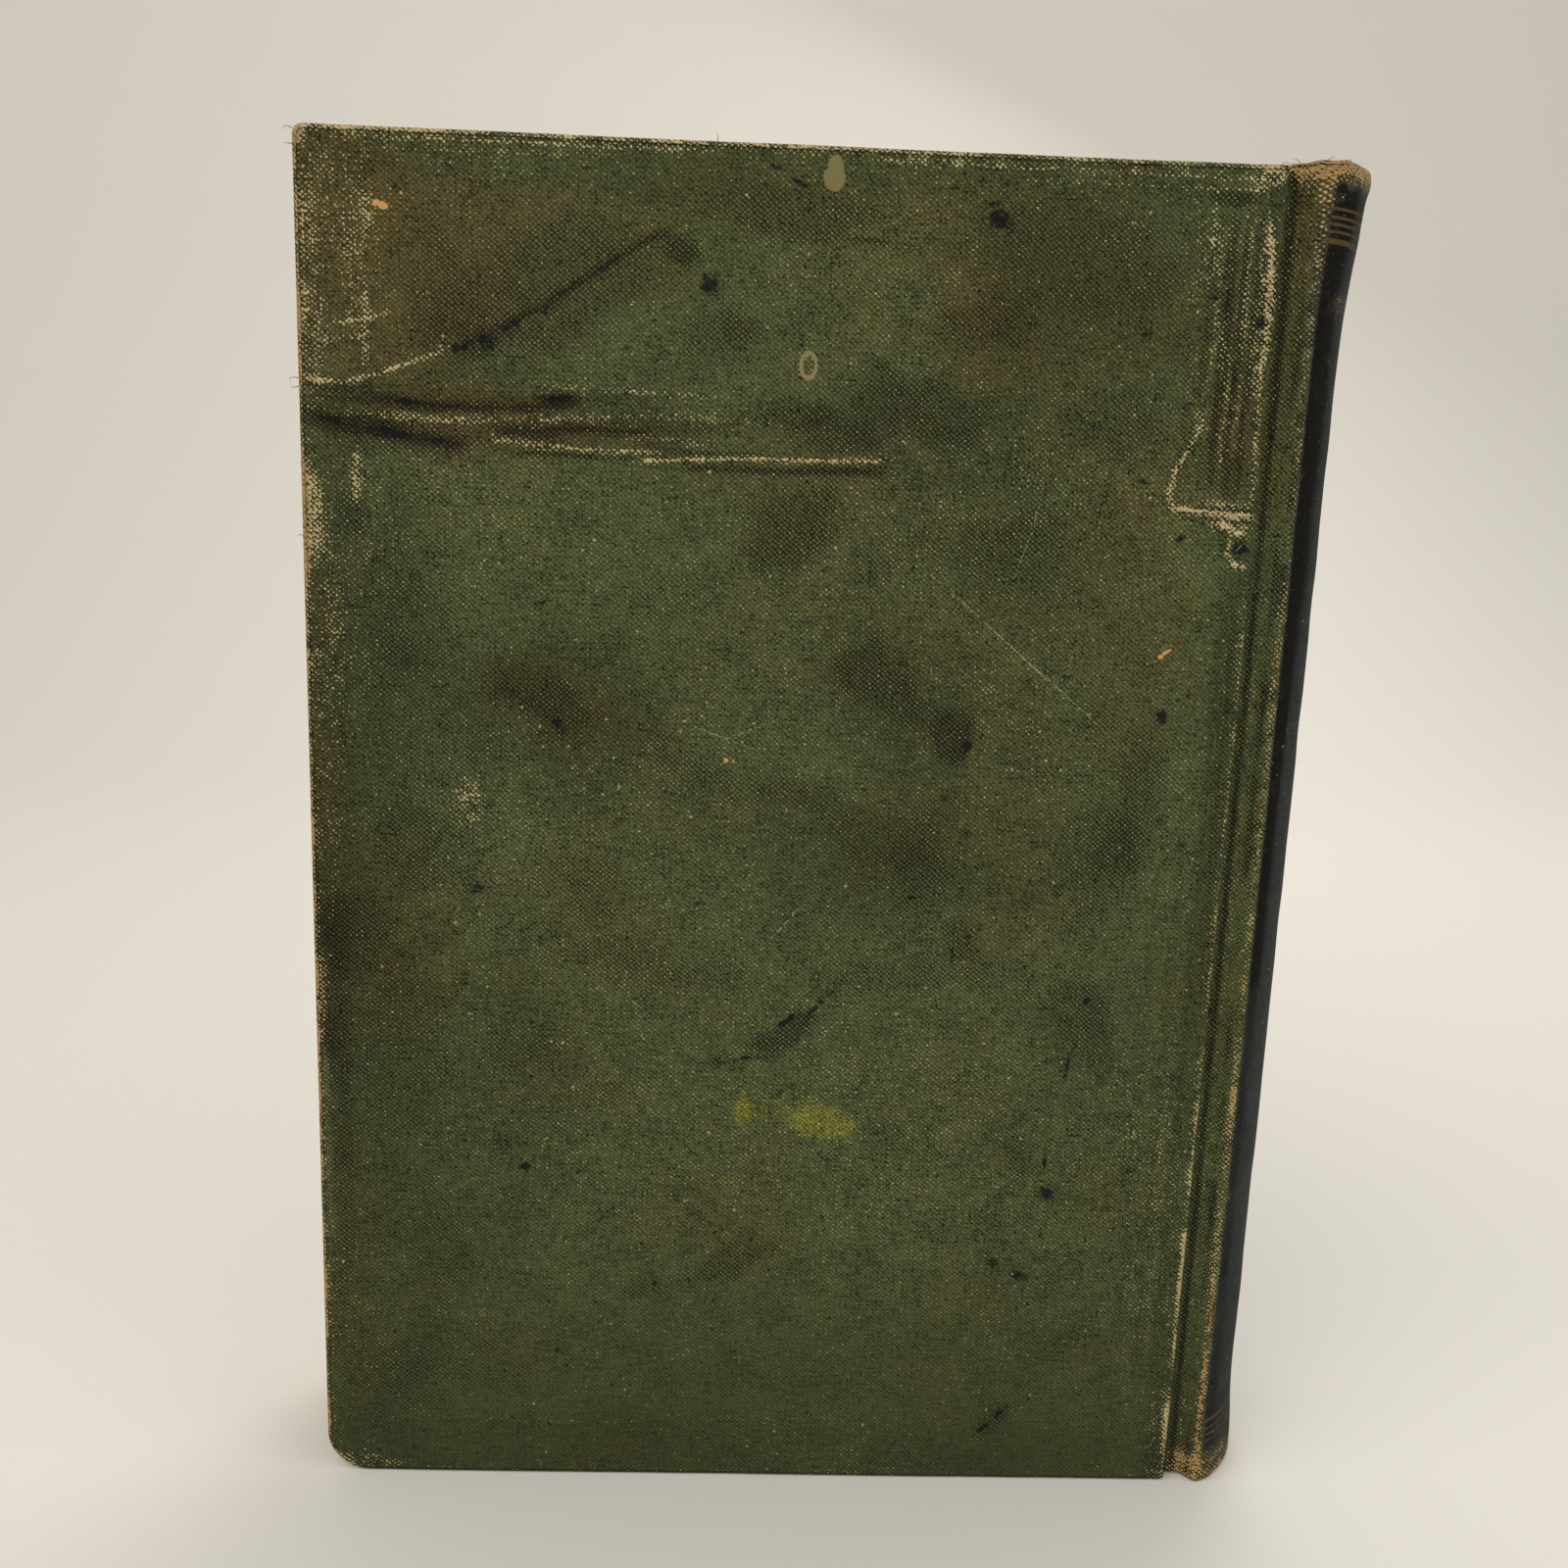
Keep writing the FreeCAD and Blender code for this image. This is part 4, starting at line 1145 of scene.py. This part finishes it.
def leafEdges():
    # cut edges of a sewn rag-paper block: soft, dusty, browned by air, with fine lines along the leaves
    material, tree = newMaterial("agedRagPaperEdges")
    flat = addNode(tree, "UVMap", uv_map="flatCloth").outputs["UV"]
    along = addNode(tree, "Mapping", {"Vector": flat, "Scale": (1 / paperLook["leafPitch"], 0.03, 1)})
    lines = addNode(tree, "TexNoise", {"Vector": along, "Scale": 1.0, "Detail": 2.0}).outputs["Fac"]
    dust = addNode(tree, "TexNoise", {"Vector": flat, "Scale": 0.12, "Detail": 5.0})
    both = weighted(tree, [(lines, 1.0), (dust.outputs["Fac"], 0.5)])
    isDark = addNode(tree, "MapRange", {"Value": both, "From Min": 0.5, "From Max": 1.05})
    tones = {6: linear(paperLook["leafEdge"]), 7: linear(paperLook["leafEdgeDark"])}
    colour = addNode(tree, "Mix", {0: isDark, **tones}, data_type="RGBA").outputs[2]
    dullSurface(tree, colour, 0.9, lines, 0.15)
    return material


def fibreSheet(name, pale, dark, stretch, spread, sheetBox=None):
    # paper or board: felted fibres and darker patches where damp and glue came through
    material, tree = newMaterial(name)
    place = addNode(tree, "TexCoord").outputs["Object"]
    scaled = addNode(tree, "Mapping", {"Vector": place, "Scale": (1000, 9000, 1000 * stretch)})
    fibres = addNode(tree, "TexNoise", {"Vector": scaled, "Scale": 1.4, "Detail": 4.0,
                                        "Roughness": 0.6}).outputs["Fac"]
    patches = addNode(tree, "TexNoise", {"Vector": scaled, "Scale": 0.035, "Detail": 8.0,
                                         "Roughness": 0.7}).outputs["Fac"]
    toned = weighted(tree, [(fibres, spread), (patches, 1.0)], -0.5 - 0.45 * spread)
    if sheetBox:
        # browner towards the edges, which the air reached
        low, high = sheetBox
        middle, half = (low + high) / 2, (high - low) / 2
        centred = addNode(tree, "Mapping", {"Vector": place, "Location": middle,
                                            "Scale": (half.x, 1.0, half.z)}, vector_type="TEXTURE")
        apart = addNode(tree, "SeparateXYZ", {"Vector": centred})
        for side in ("X", "Z"):
            reach = addNode(tree, "Math", {0: apart.outputs[side]}, operation="ABSOLUTE")
            edge = addNode(tree, "Math", {0: reach, 1: 14.0}, operation="POWER")
            toned = weighted(tree, [(edge, 0.22), (toned, 1.0)])
    isDark = addNode(tree, "MapRange", {"Value": toned, "From Min": -0.05, "From Max": 0.34 + 0.1 * spread})
    colour = addNode(tree, "Mix", {0: isDark, 6: linear(pale), 7: linear(dark)},
                     data_type="RGBA").outputs[2]
    dullSurface(tree, colour, 0.85, fibres, 0.05)
    return material


def gauze():
    # mull, an open cotton gauze: pale threads a millimetre apart with glue-browned gaps
    material, tree = newMaterial("gluedCottonMull")
    place = addNode(tree, "TexCoord").outputs["Object"]
    scaled = addNode(tree, "Mapping", {"Vector": place, "Scale": (1000, 1000, 1000)})
    bands = 2 * math.pi / 20
    ways = [addNode(tree, "TexWave", {"Vector": scaled, "Scale": bands, "Distortion": 0.6},
                    bands_direction=way).outputs["Fac"] for way in ("X", "Z")]
    most = addNode(tree, "Math", {0: ways[0], 1: ways[1]}, operation="MAXIMUM")
    isThread = addNode(tree, "MapRange", {"Value": most, "From Min": 0.6, "From Max": 0.8})
    tones = {6: linear(paperLook["mullGap"]), 7: linear(paperLook["mull"])}
    colour = addNode(tree, "Mix", {0: isThread, **tones}, data_type="RGBA").outputs[2]
    dullSurface(tree, colour, 0.9, most, 0.15)
    return material


# The sewn pages: (t, s) is a place in a leaf, t from -1 to 1 through the thickness
pagesShape = {
    "leafStep": 0.2,
    "gatherings": 17,
    "gatherHollow": 0.14,
    "leafUneven": 0.1,
    "foreHollow": 6.0,
    "shoulderRun": 5.6,
    "roundRadius": 19.05,
    # how far the plain sides stop short of the block's head and tail
    "sideGap": 0.2,
}


def pageFlare(x):
    # how far an outer leaf bends out towards the shoulder at x
    riseOut = blockHigh.y - min(abs(leafLow.y), abs(leafHigh.y))
    bend = (pagesShape["shoulderRun"] ** 2 + riseOut ** 2) / (2 * riseOut)
    run = np.clip(x - leafHigh.x, 0, pagesShape["shoulderRun"])
    return bend - np.sqrt(bend ** 2 - run ** 2)


def makePages(material):
    innerHalf = min(abs(leafLow.y), abs(leafHigh.y))
    tip = blockHigh.y
    t = np.linspace(-1, 1, round(2 * innerHalf / pagesShape["leafStep"]) + 1)
    random = np.random.default_rng(17)
    place = (t + 1) / 2 * pagesShape["gatherings"]
    hollow = pagesShape["gatherHollow"] * np.abs(2 * (place % 1) - 1) ** 3
    foreUneven, tailUneven, headUneven = (random.uniform(0, pagesShape["leafUneven"], len(t)) + hollow
                                          for face in range(3))

    chord = pagesShape["foreHollow"]
    foreRadius = (innerHalf ** 2 + chord ** 2) / (2 * chord)
    foreX = blockLow.x + np.sqrt(foreRadius ** 2 - (t * innerHalf) ** 2) - (foreRadius - chord)
    startX = foreX + foreUneven
    middleX = blockHigh.x - pagesShape["roundRadius"]
    backX = middleX + np.sqrt(pagesShape["roundRadius"] ** 2 - (t * tip) ** 2)
    low, high = blockLow.z, blockHigh.z
    points, flat, faces = [], [], []

    def addSheet(x, y, z, along, flip):
        # one face of the block as a grid of leaf edges
        first = sum(len(part) for part in points)
        points.append(gridPoints(x, y, z))
        across = np.repeat((t * innerHalf)[:, None], x.shape[1], axis=1) if len(x) == len(t) else y
        flat.append(np.stack([across, along], axis=2).reshape(-1, 2))
        faces.extend((np.array(gridFaces(*x.shape, flip)) + first).tolist())

    rows = np.linspace(0, 1, 41)
    y = np.repeat((t * innerHalf)[:, None], len(rows), axis=1)
    z = low + (high - low) * np.repeat(rows[None], len(t), axis=0)
    wave = 0.12 * ripple(71, y / innerHalf * 9, z, 24) + 0.12
    addSheet(startX[:, None] + wave, y, z, z, False)

    share = np.concatenate([np.linspace(0, 0.9, 28), np.linspace(0.91, 1, 12)])
    for end, edge, sign in ((low, tailUneven, 1), (high, headUneven, -1)):
        x = startX[:, None] + (backX - startX)[:, None] * share[None]
        y = t[:, None] * (innerHalf + pageFlare(x))
        wave = 0.1 + 0.1 * ripple(73, x, y * 6, 26)
        addSheet(x, y, end + sign * (edge[:, None] + wave), x, sign > 0)

    # the outer leaves and the back, three points high
    gap = pagesShape["sideGap"]
    heights = np.array([[low + gap, (low + high) / 2, high - gap]])
    for k, flip in ((0, False), (-1, True)):
        x = np.repeat((startX[k] + (backX[k] - startX[k]) * share)[:, None], 3, axis=1)
        z = np.repeat(heights, len(share), axis=0)
        addSheet(x, t[k] * (innerHalf + pageFlare(x)), z, z, flip)
    x, y = (np.repeat(side[:, None], 3, axis=1) for side in (backX, t * tip))
    z = np.repeat(heights, len(t), axis=0)
    addSheet(x, y, z, z, True)
    return makePiece("sewnPages", np.concatenate(points), faces, material, np.concatenate(flat))


# frayed ends of cloth thread: where each starts, which way it points, its length and curl
threadShape = {"radius": 0.09, "points": 9, "sides": 5}
coverThreads = [
    ((-84.4, -17.4, 229.2), (-0.9, -0.3, 0.5), 2.2, 0.7),
    ((-84.3, -17.7, 227.0), (-1.0, -0.2, -0.2), 1.6, -0.5),
    ((-84.5, -17.4, 192.4), (-1.0, -0.3, 0.3), 2.6, 0.9),
    ((-84.5, -17.3, 191.2), (-1.0, -0.2, -0.5), 1.8, -0.8),
    ((-84.4, -17.2, 168.0), (-0.9, -0.3, 0.4), 1.4, 0.6),
    ((67.2, -17.9, 229.6), (0.3, -0.3, 0.9), 1.6, -0.6), ((68.3, -17.8, 229.3), (0.6, -0.5, 0.6), 1.4, 0.7),
    ((55.0, -18.5, 154.2), (0.8, -0.35, 0.5), 1.6, 0.5),
    ((-20.0, -17.9, 229.7), (0.5, -0.2, 0.8), 1.3, 0.5),
    ((66.6, -18.3, 171.6), (-0.6, -0.5, -0.6), 2.0, 0.8),
]
capThreads = [
    ((71.0, -15.6, 230.4), (-0.3, -0.5, 0.9), 1.7, 0.6),
    ((75.0, -16.6, 230.9), (0.2, -0.4, 1.0), 1.3, -0.5), ((79.5, -13.2, 230.9), (0.6, -0.4, 0.8), 1.6, 0.7),
    ((84.6, -6.0, 230.8), (0.9, -0.2, 0.6), 1.4, -0.6), ((85.6, 2.0, 229.6), (1.0, 0.2, 0.2), 1.3, 0.5),
    ((81.5, 11.0, 230.8), (0.7, 0.5, 0.7), 1.5, 0.6), ((75.3, -16.3, 1.2), (0.5, -0.7, 0.2), 1.4, 0.6),
]


def makeThreads(name, threads, material):
    # short curling tubes that taper to nothing
    points, faces = [], []
    for start, way, length, curl in threads:
        place, ahead = Vector(start), Vector(way).normalized()
        across = ahead.cross(Vector((0.3, 0.5, 0.8))).normalized()
        count, sides = threadShape["points"], threadShape["sides"]
        first = len(points)
        for n in range(count):
            up = ahead.cross(across).normalized()
            radius = threadShape["radius"] * (1 - 0.75 * n / (count - 1))
            for k in range(sides):
                angle = 2 * math.pi * k / sides
                points.append(place + (across * math.cos(angle) + up * math.sin(angle)) * radius)
            place = place + ahead * length / (count - 1)
            ahead = (ahead + across * 0.35 * curl + Vector((0, 0, -0.05))).normalized()
            across = (across - ahead * across.dot(ahead)).normalized()
        for n in range(count - 1):
            for k in range(sides):
                a, b = first + n * sides + k, first + n * sides + (k + 1) % sides
                faces.append((a, b, b + sides, a + sides))
        faces.append(tuple(first + k for k in reversed(range(sides))))
        faces.append(tuple(first + (count - 1) * sides + k for k in range(sides)))
    return makePiece(name, [tuple(point) for point in points], faces, material)


def cottonThread():
    # frayed cotton: tan where the dye has gone, in patches mixed with olive
    material, tree = newMaterial("frayedCottonThread")
    place = addNode(tree, "TexCoord").outputs["Object"]
    patches = addNode(tree, "TexNoise", {"Vector": place, "Scale": 900.0, "Detail": 2.0})
    tones = {6: linear(clothLook["bareThread"]), 7: linear(clothLook["olive"])}
    colour = addNode(tree, "Mix", {0: patches.outputs["Fac"], **tones}, data_type="RGBA").outputs[2]
    shader = addNode(tree, "BsdfPrincipled", {"Base Color": colour, "Roughness": 0.9, "IOR": 1.5})
    addNode(tree, "OutputMaterial", {"Surface": shader})
    return material


def makeHingeStrip(side, name, material):
    # the endpaper where it crosses from the board to the shoulder of the pages
    innerHalf = min(abs(leafLow.y), abs(leafHigh.y))
    share = np.linspace(0, 1, 13)
    startX, endX = pasteHigh.x - 0.3, leafHigh.x + pagesShape["shoulderRun"] - 1.2
    x = startX + (endX - startX) * share
    y = innerHalf + pageFlare(x) + 0.12 + 0.2 * (1 - share)
    z = np.linspace(pasteLow.z, pasteHigh.z, 61)
    gridX, gridZ = np.meshgrid(x, z, indexing="ij")
    gridY = side * (np.repeat(y[:, None], len(z), axis=1) + 0.05 * ripple(81, gridX, gridZ, 12))
    points = gridPoints(gridX, gridY, gridZ)
    flat = np.stack([gridX, gridZ], axis=2).reshape(-1, 2)
    strip = makePiece(name, points, gridFaces(len(x), len(z), side == front), material, flat)
    return strip, (startX, side * y[0]), (endX, side * y[-1])


clothMaterial = bookCloth("starchedGreenBookCloth")
markedCloth = bookCloth("starchedGreenBookClothStained", marked=True)
high = book["coverHeight"] - faceStart
backU = spacing([(faceStart, 12, 0.45), (12, 136, 0.85), (136, faceEnd, 0.4)])
backV = spacing([(faceStart, 6, 0.45), (6, 165, 0.92), (165, 204, 0.42), (204, 222, 0.8), (222, high, 0.4)])
backCloth = coverCloth(back, "backCoverCloth", backU, backV, 0.33,
                       (clothShape["wornCorner"], clothShape["headCorner"]), backRelief, markedCloth)
frontU = spacing([(faceStart, 10, 0.6), (10, faceEnd, 1.5)])
frontV = spacing([(faceStart, 6, 0.6), (6, 222, 1.6), (222, high, 0.6)])
frontCloth = coverCloth(front, "frontCoverCloth", frontU, frontV, 0.4,
                        (clothShape["plainCorner"],) * 2, plainRelief, clothMaterial)
spineV = spacing([(faceStart, 8, 0.5), (8, 200, 1.2), (200, high, 0.6)])
spinePiece = spineCloth("spineCloth", 0.7, spineV, clothMaterial)
for piece in (backCloth, frontCloth, spinePiece):
    print(piece.name, len(piece.data.polygons), "faces")

for piece, body, side in ((backCloth, "back_cover", back), (frontCloth, "front_cover", front)):
    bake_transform(piece)
    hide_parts(body + "_cloth")
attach(spinePiece, "block")
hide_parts("spine_cloth")

pages = makePages(leafEdges())
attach(pages, "block")
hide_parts("text_block")

cotton = cottonThread()
for name, threads, body in (("backCoverThreads", coverThreads, "back_cover"),
                            ("spineCapThreads", capThreads, "block")):
    loose = makeThreads(name, threads, cotton)
    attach(loose, body)

endpaper = fibreSheet("agedEndpaper", *paperLook["endpaper"], 1.0, 0.3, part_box("back_pastedown"))
for side, name, body in ((back, "backEndpaperHinge", "back_cover"),
                         (front, "frontEndpaperHinge", "front_cover")):
    strip, start, end = makeHingeStrip(side, name, endpaper)
    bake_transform(strip)
print("pages and endpapers made")

carried = {
    endpaper: ("back_pastedown", "front_pastedown", "back_flyleaf", "front_flyleaf"),
    fibreSheet("rolledStrawboard", *paperLook["strawboard"], 0.3, 0.8): ("back_board", "front_board"),
    fibreSheet("pressedCard", *paperLook["card"], 0.3, 0.7): ("spine_strip",),
    fibreSheet("brownKraftPaper", *paperLook["kraft"], 0.25, 0.7): ("spine_lining",),
    gauze(): ("spine_mull", "back_mull_flange", "front_mull_flange"),
}
for material, names in carried.items():
    for name in names:
        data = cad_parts[name].data
        data.materials.clear()
        data.materials.append(material)
